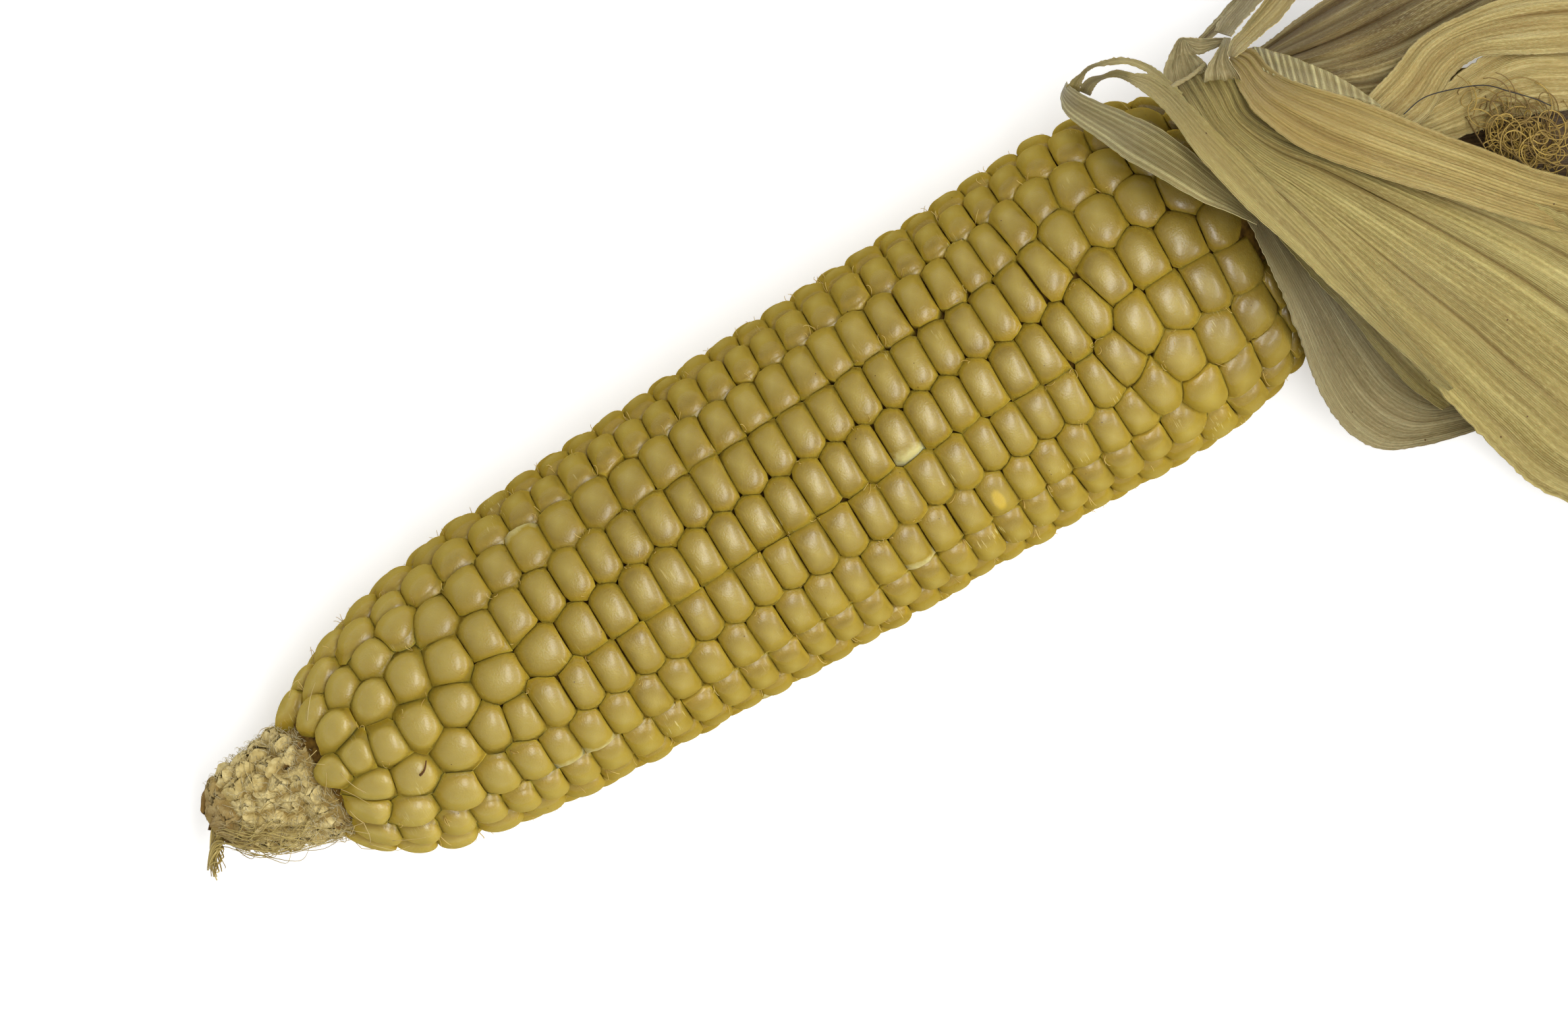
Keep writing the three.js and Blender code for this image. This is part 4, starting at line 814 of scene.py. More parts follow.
# Each station is (x, y) of one edge, (x, y) of the other, and the level in the pile, or one for each edge.
LEAVES = {
    "husk_under_front": dict(
        seed=31, pleats=8, ribs=20, folds=5, lean=UNDER_LEAN, step=1.0,
        stations=[(179, 6, 179, -6, 0), (192, 6, 190, -12, 0), (208, 3, 204, -24, 0),
                  (226, -8, 218, -42, 0), (242, -26, 231, -53, 0), (254, -44, 245, -57, 0),
                  (260, -57, 258, -60, 0)]),
    "husk_under_back": dict(
        seed=32, pleats=8, ribs=16, folds=5, lean=UNDER_LEAN, step=1.0,
        stations=[(180, 15, 180, 8, 0), (196, 18, 194, 9, 0), (216, 17, 214, 6, 0), (240, 12, 236, -8, 0),
                  (262, 4, 256, -18, 0), (280, -9, 274, -19, 0), (288, -18, 286, -20, 0)]),
    # Painted shade: this inner leaf is coloured dark brown for the shadow it lies in.
    "husk_inner_dark": dict(
        seed=33, pleats=5, ribs=20, folds=4,
        stations=[(203, -1, 204, -13, -1), (212, 0, 212, -20, -1), (222, 0, 221, -25, -1),
                  (234, -5, 231, -29, -1), (247, -15, 243, -31, -1), (259, -28, 257, -32, -1)]),
    "husk_lower_back": dict(
        seed=34, pleats=3, ribs=36, ragged=0.6, rib_height=0.035, wave=0.8, folds=9,
        stations=[(172, 1, 179, 2, 0), (171.2, -5, 180.5, -4, 0), (170.6, -11, 182, -9, 0),
                  (169.6, -18, 184, -16, 0), (168.2, -26, 186.5, -24, 0), (168.2, -33, 189, -31, 0),
                  (171, -38.8, 193, -36, 0), (177, -42, 198, -38, 0), (186, -44.5, 206, -41, 0),
                  (196, -46.5, 210, -44, 0)]),
    "husk_back_grey": dict(
        seed=35, pleats=7, ribs=24, folds=8,
        creases=[(0.1, 0.6, 0.05, -0.2, 1.2), (0.36, 0.7, 0.03, -0.2, 0.8), (0.6, 0.5, 0.04, 0.1, 1.2),
                 (0.84, 0.6, 0.03, -0.2, 0.7)],
        stations=[(186.5, 19.6, 186.8, 12, 0), (194, 20.4, 194, 6, 0), (203, 20.6, 203, 2.5, 0),
                  (215, 19.5, 215, 2.5, 0), (230, 16.5, 229, 2, 0), (247, 12, 245, -1, 0),
                  (264, 6, 262, -4, 0), (280, 0, 279, -5, 0), (289, -3, 289, -5.5, 0)]),
    "husk_panel": dict(
        seed=36, pleats=4, ribs=12, ragged=0.8, folds=3,
        stations=[(199, 0.5, 200, -5, 0), (206, 1, 206, -7, 0), (212, 1.6, 212, -8, 0),
                  (218, 1, 217, -10, 0), (225, -3, 221, -12, 0)]),
    "husk_back_gold": dict(
        seed=37, pleats=4, ribs=14, folds=6,
        stations=[(193, 4.5, 194, -2, 1), (201, 6.8, 202, -1.5, 1), (207, 8.6, 208, 1.5, 1),
                  (213, 8.4, 213, 1.8, 1), (221, 7, 219, -1.5, 1), (231, 2.5, 227, -6, 1),
                  (243, -5, 238, -13, 1), (256, -14, 251, -21, 1), (268, -24, 266, -27, 1)]),
    "husk_lower_edge": dict(
        seed=38, pleats=2, ribs=8, folds=3,
        stations=[(174.2, -5, 178, -5, 1), (175.3, -12, 180, -12, 1), (177.2, -20, 182, -20, 1),
                  (178.3, -27, 184, -27, 1), (179.8, -34, 186, -34, 1), (182, -39, 187, -39, 1)]),
    "husk_cuff": dict(
        seed=39, pleats=1, ribs=4, step=0.12, cross_ribs=20, curl=0, wave=0.1, rib_height=0.4, ragged=0.3,
        stations=[(184.6, 20.3, 184.4, 18.6, 2.6, 3.2), (185.2, 20.2, 184.8, 17, 2.3, 3.2),
                  (186.4, 19.7, 185.4, 15.8, 2, 3.1), (188.3, 17.5, 187, 13.7, 2, 3),
                  (190, 15.6, 188.8, 11.9, 2, 3), (191.8, 13, 190.6, 9.8, 2, 3),
                  (193.6, 10.3, 192.6, 7.6, 2, 3), (195.2, 7.2, 194.6, 5.7, 2, 3),
                  (196.8, 3.4, 196.7, 3, 2.5, 3)]),
    "husk_brown": dict(
        seed=40, pleats=4, ribs=18, gathers=5, folds=7, wave=0.5,
        creases=[(0.3, 0.35, 0.03, 0.02, 0.8), (0.97, -0.5, 0.03, 0.1, 1.2)],
        stations=[(181.2, 20, 183, 21.4, 4.6, 3.8), (180.8, 17.6, 185.4, 19.8, 4.7, 3.3),
                  (180.6, 15, 186.2, 16, 4.6, 3), (180.9, 11.2, 188.3, 12.4, 4.6, 3),
                  (184, 3.6, 194.5, 5.5, 4.5, 3), (190.5, -4.6, 200.5, -2.5, 4.5, 3),
                  (198, -13, 206.5, -10, 4.4, 3), (206, -22, 213, -18, 4, 3), (216, -32, 223, -27, 3),
                  (228, -42, 236, -38, 3), (241, -51, 246, -49, 3)]),
    "husk_front_fan": dict(
        seed=41, pleats=7, ribs=31, ragged=0.8, gathers=7, folds=11, wave=0.6,
        creases=[(0.03, 0.55, 0.012, -0.1, 0.6), (0.3, 0.5, 0.012, 0.1, 0.75),
                 (0.62, 0.55, 0.012, 0.12, 1.1), (0.66, -0.35, 0.02, 0.12, 1.1),
                 (0.82, 0.4, 0.015, 0.3, 1.1)],
        stations=[(172.6, 21.2, 181.7, 21.3, 3.6), (172.6, 20.4, 181.6, 20.2, 4.2),
                  (172.6, 17.6, 181.2, 16.6, 4.4), (172.8, 13, 180.9, 11.7, 4, 3.6),
                  (173.8, 6, 184.6, 5.6, 4, 3.3), (175.4, -1, 191, -0.5, 4, 3.3),
                  (176.8, -9, 198.5, -9, 4, 3.3), (178.8, -20, 206, -17, 4, 3.4),
                  (181.9, -32, 213, -26, 4, 3.6), (184.8, -45, 220, -37, 4), (188.5, -57, 227, -49, 4),
                  (199, -69, 231, -61, 4), (213, -77, 231, -71, 4), (225.5, -81, 228.5, -79, 4)]),
    "husk_strip_wide": dict(
        seed=42, pleats=1, ribs=7, rib_height=0.26, folds=1, wave=0.15,
        stations=[(158.4, 28.8, 160.1, 29.9, 1.3), (157.7, 27.6, 160.2, 29, 2),
                  (157.5, 25.8, 161.2, 27, 2.3), (158.3, 23.3, 163, 24.3, 2.2), (159.7, 20, 165.3, 21, 2),
                  (161.1, 16.3, 167.5, 17.6, 2), (163, 12.8, 169.1, 14, 2), (165.2, 8.8, 170.2, 10.8, 2),
                  (167.3, 5, 171.4, 6.5, 2), (170, 1.5, 172.4, 2.5, 2), (172.4, -2, 173.3, -1.2, 2)]),
    "husk_strip_long": dict(
        seed=43, pleats=1, ribs=7, folds=3, wave=0.3,
        creases=[(0.35, 0.3, 0.05, 0.25, 1.1)],
        stations=[(160.9, 27.9, 161.9, 26.4, 1.7), (162, 28.5, 162.7, 27, 2.6),
                  (163.4, 28.6, 163.8, 27.4, 3.4), (165, 28, 165.2, 27.3, 4.2),
                  (166.9, 27.6, 166.5, 26.5, 4.8, 4.5), (168.8, 25.9, 167.6, 25, 5, 4.8),
                  (171, 24.2, 168.6, 22.7, 5), (172.5, 21.1, 169.5, 19.8, 5), (173.4, 17.2, 169.9, 16.5, 5),
                  (174.4, 12.8, 170.2, 12, 5), (176.2, 6, 171.4, 4.8, 5), (177.6, -0.6, 173, -1.4, 5),
                  (179.2, -7.6, 175, -8, 5), (180.4, -15, 177, -15.5, 5), (182.2, -24, 179.6, -24.5, 5),
                  (184, -33, 182.5, -33.5, 5), (184.8, -37, 184, -37, 5)]),
    "husk_strip_thin": dict(
        seed=44, pleats=1, ribs=3, ragged=0.7, step=0.3,
        stations=[(159.2, 29, 160.8, 27.7, 1.6), (160.6, 29.8, 161.6, 28.4, 2.3),
                  (162.2, 29.9, 162.6, 29.3, 3), (163.9, 30.15, 163.9, 29.6, 3.8),
                  (165.6, 29.8, 165.4, 29.2, 4.4), (167.6, 29.25, 167.1, 28.4, 4.8),
                  (169.5, 28, 168.9, 27.3, 5), (171.1, 26.2, 170.2, 25.6, 5), (172.1, 24.2, 171.2, 23.4, 5),
                  (172.8, 21.6, 172, 20.8, 5), (173.4, 19.8, 172.6, 19.2, 4.6)]),
    "husk_knot_loop": dict(
        seed=45, pleats=2, ribs=6, folds=2, wave=0.1, step=0.3,
        stations=[(171.2, 21, 178.4, 20.2, 3.8, 4.1), (172.6, 23.8, 178.4, 22.2, 4.6, 5),
                  (174.2, 25.1, 177.9, 23.6, 5.1), (175.6, 26, 177.7, 24.8, 5.6),
                  (177.1, 26.7, 177.8, 25.8, 6.3, 6), (178.5, 26, 177.8, 24.1, 6.1, 5.3),
                  (179.6, 25.2, 178.7, 23.1, 5.9, 5.1), (181.3, 24.2, 180.3, 22.9, 5.8, 5.2),
                  (182.9, 23.3, 182.1, 22.6, 5.7, 5.3)]),
    "husk_strip_back": dict(
        seed=46, pleats=3, ribs=7, folds=5, wave=0.4,
        stations=[(181.6, 20.9, 182.5, 20.2, 5.8), (183.2, 22.5, 183.9, 20.3, 5.5),
                  (185.4, 23.1, 185.8, 20.7, 5), (188, 24.1, 188.4, 21.1, 4.6),
                  (191, 25.1, 191.7, 21.7, 4.3), (196, 26.6, 196.5, 23.4, 4), (203, 28.4, 203.4, 25, 4),
                  (211, 30, 211, 27, 4), (220, 30.8, 219.6, 28.4, 4), (228, 30.5, 227.6, 29, 4)]),
    "husk_strip_cut": dict(
        replaces=False, seed=47, pleats=1, ribs=9, rib_height=0.06, folds=2, wave=0.1, ragged=0.6,
        stations=[(182, 25, 183.6, 23.1, 5.6), (184.1, 26.1, 186, 23.9, 5.3), (186.6, 26.9, 188.7, 24.7, 5),
                  (191, 28.6, 192.7, 26.1, 4.6), (198, 30.4, 199.2, 27.9, 4.4),
                  (206, 31.4, 206.6, 29.4, 4.4), (214, 31.6, 214.4, 30.4, 4.4)]),
    "husk_strip_behind": dict(
        replaces=False, seed=48, pleats=1, ribs=5, folds=2, wave=0.1,
        stations=[(178.9, 25.2, 180.2, 24.2, 4.6), (182, 26.1, 183.4, 24.7, 4.6),
                  (184.6, 26.9, 186, 25.2, 4.4), (188, 27.9, 189.4, 26, 4.1), (194, 29.8, 195, 27.8, 3.8),
                  (202, 31.2, 202.8, 29.4, 3.6)]),
    "husk_knot_tie": dict(
        replaces=False, seed=49, pleats=2, ribs=5, folds=2, wave=0.05, step=0.3,
        stations=[(182.6, 23.5, 183.5, 22.8, 6.3), (181.6, 22.8, 182.5, 21.9, 6.5),
                  (180.2, 22.1, 181.7, 20.9, 6.2), (178.6, 21.3, 181.5, 19.6, 5.6),
                  (177.2, 20.2, 181.6, 17.8, 5), (176.2, 18.6, 181.4, 15.6, 3.5)]),
}


def crease_relief(across, share, drift, creases):
    """How far creases dent a leaf: each has a place, depth (a ridge if negative), breadth, start and end."""
    relief = np.zeros(np.broadcast(across, share).shape)
    for place, depth, breadth, start, end in creases:
        fade = np.clip((share - start) / CREASE_FADE, 0, 1) * np.clip((end - share) / CREASE_FADE, 0, 1)
        relief += depth * fade * np.exp(-np.abs(across - place - drift) / breadth)
    return relief


def leaf(name, material, slot, seed, pleats, ribs, stations, ragged=0.3, lean=UPPER_LEAN, step=LEAF_STEP,
         creases=(), folds=0, gathers=0, cross_ribs=0, curl=MARGIN_CURL, rib_height=RIB_HEIGHT,
         wave=LEAF_WAVE, replaces=True):
    """A husk leaf from root to tip: pleats, ribs, creases, random folds and a wandering, curling edge."""
    noise = np.random.default_rng(seed)
    stations = np.array([s if len(s) == 6 else (*s, s[4]) for s in stations], float)
    length = np.linalg.norm(np.diff(stations[:, :2], axis=0), axis=1).sum()
    rows = int(np.clip(length / step, *LEAF_ROWS))
    columns = ribs * POINTS_A_RIB + 1
    near, far = curve(stations[:, 0:2], rows), curve(stations[:, 2:4], rows)
    share = np.linspace(0, 1, rows)[:, None]
    across = np.linspace(0, 1, columns)[None, :]
    level = curve(stations[:, 4:6], rows)
    level = level[:, :1] * (1 - across) + level[:, 1:] * across
    width = np.linalg.norm(far - near, axis=1)[:, None]

    def slow(count, values):
        """Random values spread evenly along the leaf, straight between them."""
        return np.interp(share, np.linspace(0, 1, count), values)

    def wander(reach):
        """How far the edge strays from its line, dying out as reach does."""
        coarse = slow(30, noise.normal(0, EDGE_WANDER[0], 30))
        return (coarse + noise.normal(0, EDGE_WANDER[1], (rows, 1))) * ragged * reach

    margin = max(LEAST_MARGIN, MARGIN_PER_RIB * ribs)
    shift = (wander((1 - across) ** margin) + wander(across**margin)) / np.maximum(width, 2)
    spread = (across + shift)[..., None]
    flat = near[:, None, :] * (1 - spread) + far[:, None, :] * spread
    x, y = flat[..., 0], flat[..., 1]
    cover = cover_height(x, y, level) - COVER_EDGE_HEIGHT
    height = COVER_EDGE_HEIGHT + table(lean, share) * cover

    drift = slow(9, noise.normal(0, DRIFT, 9))
    fold_depth = np.minimum(PLEAT_DEPTH, PLEAT_SLOPE * width / (2 * pleats))
    pleated = np.cos(TURN * (across * pleats + 2 * drift))
    gathered = np.cos(TURN * (across * gathers + 4 * drift + 0.3)) if gathers else 0
    gather_depth = GATHER_DEPTH * width / max(gathers, 1) * np.clip(1 - share / GATHER_REACH, 0, 1)
    creases = list(creases)
    for _ in range(folds):
        start = noise.uniform(*FOLD_START)
        place, depth, breadth = (noise.uniform(*limits) for limits in (FOLD_PLACE, FOLD_DEPTH, FOLD_BREADTH))
        creases.append((place, depth, breadth, start, start + noise.uniform(*FOLD_LENGTH)))
    relief = crease_relief(across, share, 0.2 * drift, creases) * np.minimum(width / CREASE_FULL_WIDTH, 1)
    height = height + fold_depth * pleated + gather_depth * gathered - relief
    height = height + wave * np.minimum(width / WAVE_FULL_WIDTH, 1) * waves(x, y, seed, WAVE_LENGTH)
    lift = slow(7, noise.uniform(*MARGIN_LIFT, 7))
    at_edge = (1 - across) ** CURL_FADE + across**CURL_FADE
    height = height + curl * lift * at_edge * np.minimum(width / CURL_FULL_WIDTH, 1)

    rib_at = (share * cross_ribs if cross_ribs else across * ribs) + np.zeros((rows, columns))
    rib_count = cross_ribs or ribs
    rib_sizes = noise.uniform(*RIB_SIZES, rib_count + 2)
    rib = (0.5 + 0.5 * np.cos(TURN * rib_at)) ** 2 * rib_sizes[np.round(rib_at).astype(int)]
    spacing = length / cross_ribs if cross_ribs else width / ribs
    steepness = CROSS_RIB_STEEPNESS if cross_ribs else RIB_STEEPNESS
    height = height + np.minimum(rib_height, steepness * spacing) * rib

    middle = np.stack([x, y, height], -1)
    normal = np.cross(np.gradient(middle, axis=0), np.gradient(middle, axis=1))
    normal /= np.linalg.norm(normal, axis=-1)[..., None] + 1e-9
    if normal[rows // 2, columns // 2, 2] < 0:
        normal = -normal
    edge = np.minimum(across, 1 - across) * width
    edge = np.minimum(edge, np.minimum(share, 1 - share) * length)
    thickness = LEAF_THICKNESS * np.clip(EDGE_THINNESS + edge / EDGE_SPAN, EDGE_THINNESS, 1)[..., None]
    upper = middle + normal * thickness / 2
    lower = middle - normal * thickness / 2
    if np.cross(near[-1] - near[0], far[rows // 2] - near[rows // 2]) > 0:
        upper, lower = lower, upper
    mesh = Mesh()

    def both(values):
        """The same values for the upper and the lower face."""
        return np.tile(np.broadcast_to(values, (rows, columns)).reshape(-1), 2)

    along = (share if not cross_ribs else across) * length
    # Painted shade: creases and the valleys of gathers and pleats are coloured darker.
    gather_dark, dark_depth = GATHER_SHADE
    gather_shade = gather_dark * np.clip(-gathered * gather_depth / dark_depth, 0, 1)
    hollow = np.clip(relief / FULL_SHADE_DEPTH, 0, 1) + gather_shade
    hollow = hollow + PLEAT_SHADE * np.clip(-pleated, 0, 1)
    sheet(mesh, upper, lower, rib=both(rib), across=both(rib_at), along=both(along), edge=both(edge),
          hollow=both(hollow))
    return mesh.piece(name + "_blade", material, slot, husk_place, replaces=[name] if replaces else [])


def make_knot_roll(material):
    """A tight twist of leaf that crosses the knot."""
    mesh = Mesh()
    draw = draws(61)
    line = curve(KNOT_ROLL_LINE, KNOT_ROLL_STEPS)
    share = np.linspace(0, 1, KNOT_ROLL_STEPS)
    for i in range(KNOT_ROLL_PLIES):
        turn = TURN * (i / KNOT_ROLL_PLIES + KNOT_ROLL_TURNS * share)
        away = 0.17 + 0.06 * np.sin(TURN * (3 * share + next(draw)))
        x = line[:, 0] + 0.1 * away * np.cos(turn)
        y = line[:, 1] + away * np.cos(turn)
        z = cover_height(x, line[:, 1], line[:, 2]) + away * np.sin(turn)
        strand(mesh, np.stack([x, y, z], -1), 0.2, sides=7, taper=0.8, tint=next(draw))
    mesh.piece("husk_knot_roll", material, "husk", husk_place)


# ---- Silk and threads ----

def wavy(start, heading, length, curl, draw, steps):
    """A thread that sets off along heading and curls as it goes."""
    phase = TURN * next(draw)
    turns = 0.6 + 1.2 * next(draw)
    share = np.linspace(0, 1, steps)
    turn = phase + TURN * turns * share
    x = start[0] + length * share * math.cos(heading) + curl * (np.cos(turn) - math.cos(phase))
    y = start[1] + length * share * math.sin(heading) + curl * (np.sin(turn) - math.sin(phase))
    return x, y


def make_tip_silk(material):
    """The twisted tuft at the very tip, and loose loops along the ear's lower edge."""
    mesh = Mesh()
    draw = draws(51)
    for _ in range(TUFT_THREADS):
        phase = TURN * next(draw)
        reach = 3.2 + 2.6 * next(draw)
        share = np.linspace(0, 1, 18)
        away = 0.35 + 0.75 * next(draw)
        spread = away * (0.9 + 0.5 * np.sin(math.pi * share) + 0.7 * share**3)
        angle = phase + 4.8 * share + 0.5 * np.sin(6 * share + phase)
        x = 0.2 - 1.2 * share - 0.75 * reach * share + 0.5 * spread * np.cos(angle)
        y = TIP_BEND + 0.8 - 6.8 * share + spread * np.sin(angle)
        z = 0.6 + 0.8 * spread * np.cos(angle)
        strand(mesh, np.stack([x, y, z], -1), 0.1 + 0.16 * next(draw), taper=0.5, tint=next(draw))
    for _ in range(LOOP_THREADS):
        start = -2.5 + 7 * next(draw)
        reach = 4 + 11 * next(draw)
        angle = -0.3 - 1.3 * next(draw)
        share = np.linspace(0, 1, 18)
        alongs = start + reach * share
        lift = 0.5 + (0.4 + 1.6 * next(draw) ** 3) * np.sin(math.pi * share)
        lift = lift + 0.25 * np.sin(9 * share + TURN * next(draw))
        radius = table(COB_PROFILE, np.minimum(alongs, 14)) + lift
        bend = angle + 0.8 * (next(draw) - 0.5) * share + 0.14 * np.sin(7 * share + TURN * next(draw))
        strand(mesh, ear_point(alongs, bend, radius), 0.065, sides=4, taper=0.6, tint=next(draw))
    mesh.piece("silk_tip_threads", material, "silk", ear_place, replaces=["silk_tip"])


def make_fuzz(material):
    """Fine grey chaff hairs on the bare tip, thickest next to the kernels."""
    mesh = Mesh()
    draw = draws(52)
    for _ in range(CHAFF_HAIRS):
        along = -1 + 18.2 * next(draw) ** 0.45
        angle = TURN * next(draw)
        base = float(table(COB_PROFILE, along)) - 0.5
        tall = 0.5 + 0.8 * next(draw)
        slant = 2.6 * (next(draw) - 0.5)
        twist = 0.4 * (next(draw) - 0.5)
        bend = 2.5 * (next(draw) - 0.5)
        share = np.linspace(0, 1, 6)
        alongs = along + slant * share + 0.35 * np.sin(bend * share * 2)
        points = ear_point(alongs, angle + twist * share**1.5, base + tall * np.sin(share * 2.3))
        strand(mesh, points, 0.05, sides=3, taper=0.4, tint=next(draw))
    mesh.piece("tip_fuzz", material, "cob", ear_place)


def make_loose_silk(material):
    """Straight golden threads that lie over the tip and the first kernels."""
    mesh = Mesh()
    draw = draws(54)
    for i in range(LOOSE_THREADS):
        along = 3 + 17 * next(draw)
        angle = TURN * next(draw)
        if i < LOOSE_ON_TOP:
            angle = 2.4 * (next(draw) - 0.5)
        heading = TURN * next(draw)
        long = 2 + 4.5 * next(draw)
        share = np.linspace(0, 1, 12)
        ways = heading + 1.2 * (next(draw) - 0.5) * share
        alongs = along + np.cumsum(np.cos(ways)) * long / 12
        under = np.where(alongs < 15, table(COB_PROFILE, alongs) + 0.5, table(EAR_PROFILE, alongs) + 0.15)
        rounds = angle + np.cumsum(np.sin(ways)) * long / 12 / under
        lift = 0.7 * np.sin(math.pi * share) * next(draw)
        strand(mesh, ear_point(alongs, rounds, under + lift), 0.06, sides=4, taper=0.5, tint=next(draw))
    mesh.piece("silk_loose_threads", material, "silk", ear_place)


def make_husk_silk(material):
    """The curly brown tangle between the leaves."""
    mesh = Mesh()
    draw = draws(53)
    for _ in range(HUSK_THREADS):
        start = (208.5 + 7 * next(draw), -7.5 - 8 * next(draw))
        x, y = wavy(start, TURN * next(draw), 3 + 5 * next(draw), 1.0 + 1.7 * next(draw), draw, 26)
        x = np.clip(x, 206.6, 220)
        level = 0.2 + 1.9 * next(draw) + 0.5 * np.sin(np.linspace(0, 5, 26) + TURN * next(draw))
        strand(mesh, np.stack([x, y, cover_height(x, y, level)], -1), 0.11, taper=0.7, tint=next(draw))
    mesh.piece("silk_husk_threads", material, "silk", husk_place, replaces=["silk_husk"])


def make_black_thread(material):
    """One dark thread that runs into the tangle."""
    mesh = Mesh()
    x, y = curve(BLACK_THREAD_LINE, 60).T
    strand(mesh, np.stack([x, y, cover_height(x, y, BLACK_THREAD_LEVEL)], -1), 0.09)
    mesh.piece("black_thread", material, "silk", husk_place)


# ---- Materials ----

# Colours as seen, from 0 to 255.
KERNEL_COLOURS = dict(
    skin=(145, 123, 42), dark_skin=(132, 110, 36), pale_skin=(180, 161, 84), mottle=(155, 133, 52),
    # The crown colour is partly the kernel's own pale core and partly a painted glow.
    crown=(168, 149, 74), slit=(158, 132, 40), milky=(196, 186, 128), torn=(188, 162, 66),
    # The colour near the husk and the rim colour are painted shade.
    scratch=(192, 176, 110), speck=(84, 58, 20), husk_shade=(104, 86, 34), rim=(118, 98, 38))
# In the chaff colours, deep is painted shade low on the spikelets and their scales, and also the drift of
# their mottle; a piece with no crown value takes it all over.
CHAFF_COLOURS = {
    "Chaff": dict(light=(228, 210, 150), dark=(206, 186, 124), deep=(170, 146, 84)),
    "Brown chip": dict(light=(150, 112, 70), dark=(130, 92, 52), deep=(92, 60, 30)),
    "Stalk": dict(light=(160, 142, 86), dark=(142, 122, 68), deep=(112, 90, 44)),
}
OLD_CHAFF = (124, 94, 44)
BED_COLOURS = dict(light=(120, 90, 32), dark=(74, 52, 18))
HUSK_SPECK = (86, 60, 26)
SILK_COLOURS = {
    "Silk scar": dict(light=(220, 194, 112), dark=(182, 152, 76)),
    "Tip silk": dict(light=(204, 184, 110), dark=(134, 112, 52)),
    "Chaff hair": dict(light=(214, 204, 166), dark=(186, 172, 128)),
    "Loose silk": dict(light=(212, 192, 128), dark=(176, 150, 84)),
    "Brown silk": dict(light=(172, 144, 66), dark=(92, 68, 24)),
    "Black thread": dict(light=(22, 20, 20), dark=(8, 8, 8)),
}


def linear(red, green, blue):
    """A colour as seen, from 0 to 255, as the shader takes it."""
    seen = np.array([red, green, blue]) / 255
    return (*np.where(seen <= 0.04045, seen / 12.92, ((seen + 0.055) / 1.055) ** 2.4), 1.0)


def shades(colours):
    """A table of colours as seen, each as the shader takes it."""
    return {name: linear(*seen) for name, seen in colours.items()}


def feed(tree, node, inputs):
    """Gives a shader node its inputs, as links or as values."""
    for key, value in inputs.items():
        if isinstance(value, bpy.types.NodeSocket):
            tree.links.new(value, node.inputs[key])
        else:
            node.inputs[key].default_value = value
    return node


def add(tree, kind, inputs=None, **settings):
    """Adds a shader node with its settings and inputs."""
    made = tree.nodes.new(kind)
    for key, value in settings.items():
        setattr(made, key, value)
    return feed(tree, made, inputs or {})


def mix(tree, share, one, other):
    """One colour going over to another as share goes from 0 to 1."""
    made = add(tree, "ShaderNodeMix", {0: share, 6: one, 7: other}, data_type="RGBA", blend_type="MIX")
    return made.outputs[2]


def ramp(tree, value, low, high):
    """Takes value from low to high onto 0 to 1."""
    made = add(tree, "ShaderNodeMapRange", {"Value": value, "From Min": low, "From Max": high})
    return made.outputs["Result"]


def math_node(tree, operation, one, other):
    """Two values, combined."""
    return add(tree, "ShaderNodeMath", {0: one, 1: other}, operation=operation).outputs[0]


def attribute(tree, name):
    """A number that a mesh carries on its vertices."""
    return add(tree, "ShaderNodeAttribute", attribute_name=name).outputs["Fac"]


def place_of(tree):
    """Where a point of the surface lies, in metres, in the part's own frame."""
    return add(tree, "ShaderNodeTexCoord").outputs["Object"]


def noise(tree, at, scale, detail):
    """Slow random values over a place."""
    return add(tree, "ShaderNodeTexNoise", {"Vector": at, "Scale": scale, "Detail": detail}).outputs["Fac"]


def group(name, inputs, outputs):
    """A shader node group with named sockets, and its input and output nodes."""
    tree = bpy.data.node_groups.new(name, "ShaderNodeTree")
    for key, (kind, value) in inputs.items():
        socket = tree.interface.new_socket(key, in_out="INPUT", socket_type="NodeSocket" + kind)
        if value is not None:
            socket.default_value = value
    for key, kind in outputs.items():
        tree.interface.new_socket(key, in_out="OUTPUT", socket_type="NodeSocket" + kind)
    return tree, tree.nodes.new("NodeGroupInput"), tree.nodes.new("NodeGroupOutput")


def mottle_group():
    """Soft uneven colour: one colour drifting into another."""
    tree, given, result = group(
        "Mottle", {"Place": ("Vector", None), "Scale": ("Float", 300.0), "Base": ("Color", (1, 1, 1, 1)),
                   "Drift": ("Color", (0.8, 0.8, 0.8, 1)), "Amount": ("Float", 0.5)},
        {"Color": "Color"})
    swell = noise(tree, given.outputs["Place"], given.outputs["Scale"], 3.0)
    mask = math_node(tree, "MULTIPLY", ramp(tree, swell, 0.35, 0.65), given.outputs["Amount"])
    tree.links.new(mix(tree, mask, given.outputs["Base"], given.outputs["Drift"]), result.inputs["Color"])
    return tree


def specks_group():
    """Tiny scattered specks, as a mask."""
    tree, given, result = group(
        "Specks", {"Place": ("Vector", None), "Scale": ("Float", 900.0), "Size": ("Float", 0.1),
                   "Share": ("Float", 0.2)}, {"Mask": "Float"})
    cells = add(tree, "ShaderNodeTexVoronoi",
                {"Vector": given.outputs["Place"], "Scale": given.outputs["Scale"]})
    near = math_node(tree, "LESS_THAN", cells.outputs["Distance"], given.outputs["Size"])
    chosen = add(tree, "ShaderNodeSeparateColor", {"Color": cells.outputs["Color"]}).outputs[0]
    kept = math_node(tree, "LESS_THAN", chosen, given.outputs["Share"])
    tree.links.new(math_node(tree, "MULTIPLY", near, kept), result.inputs["Mask"])
    return tree


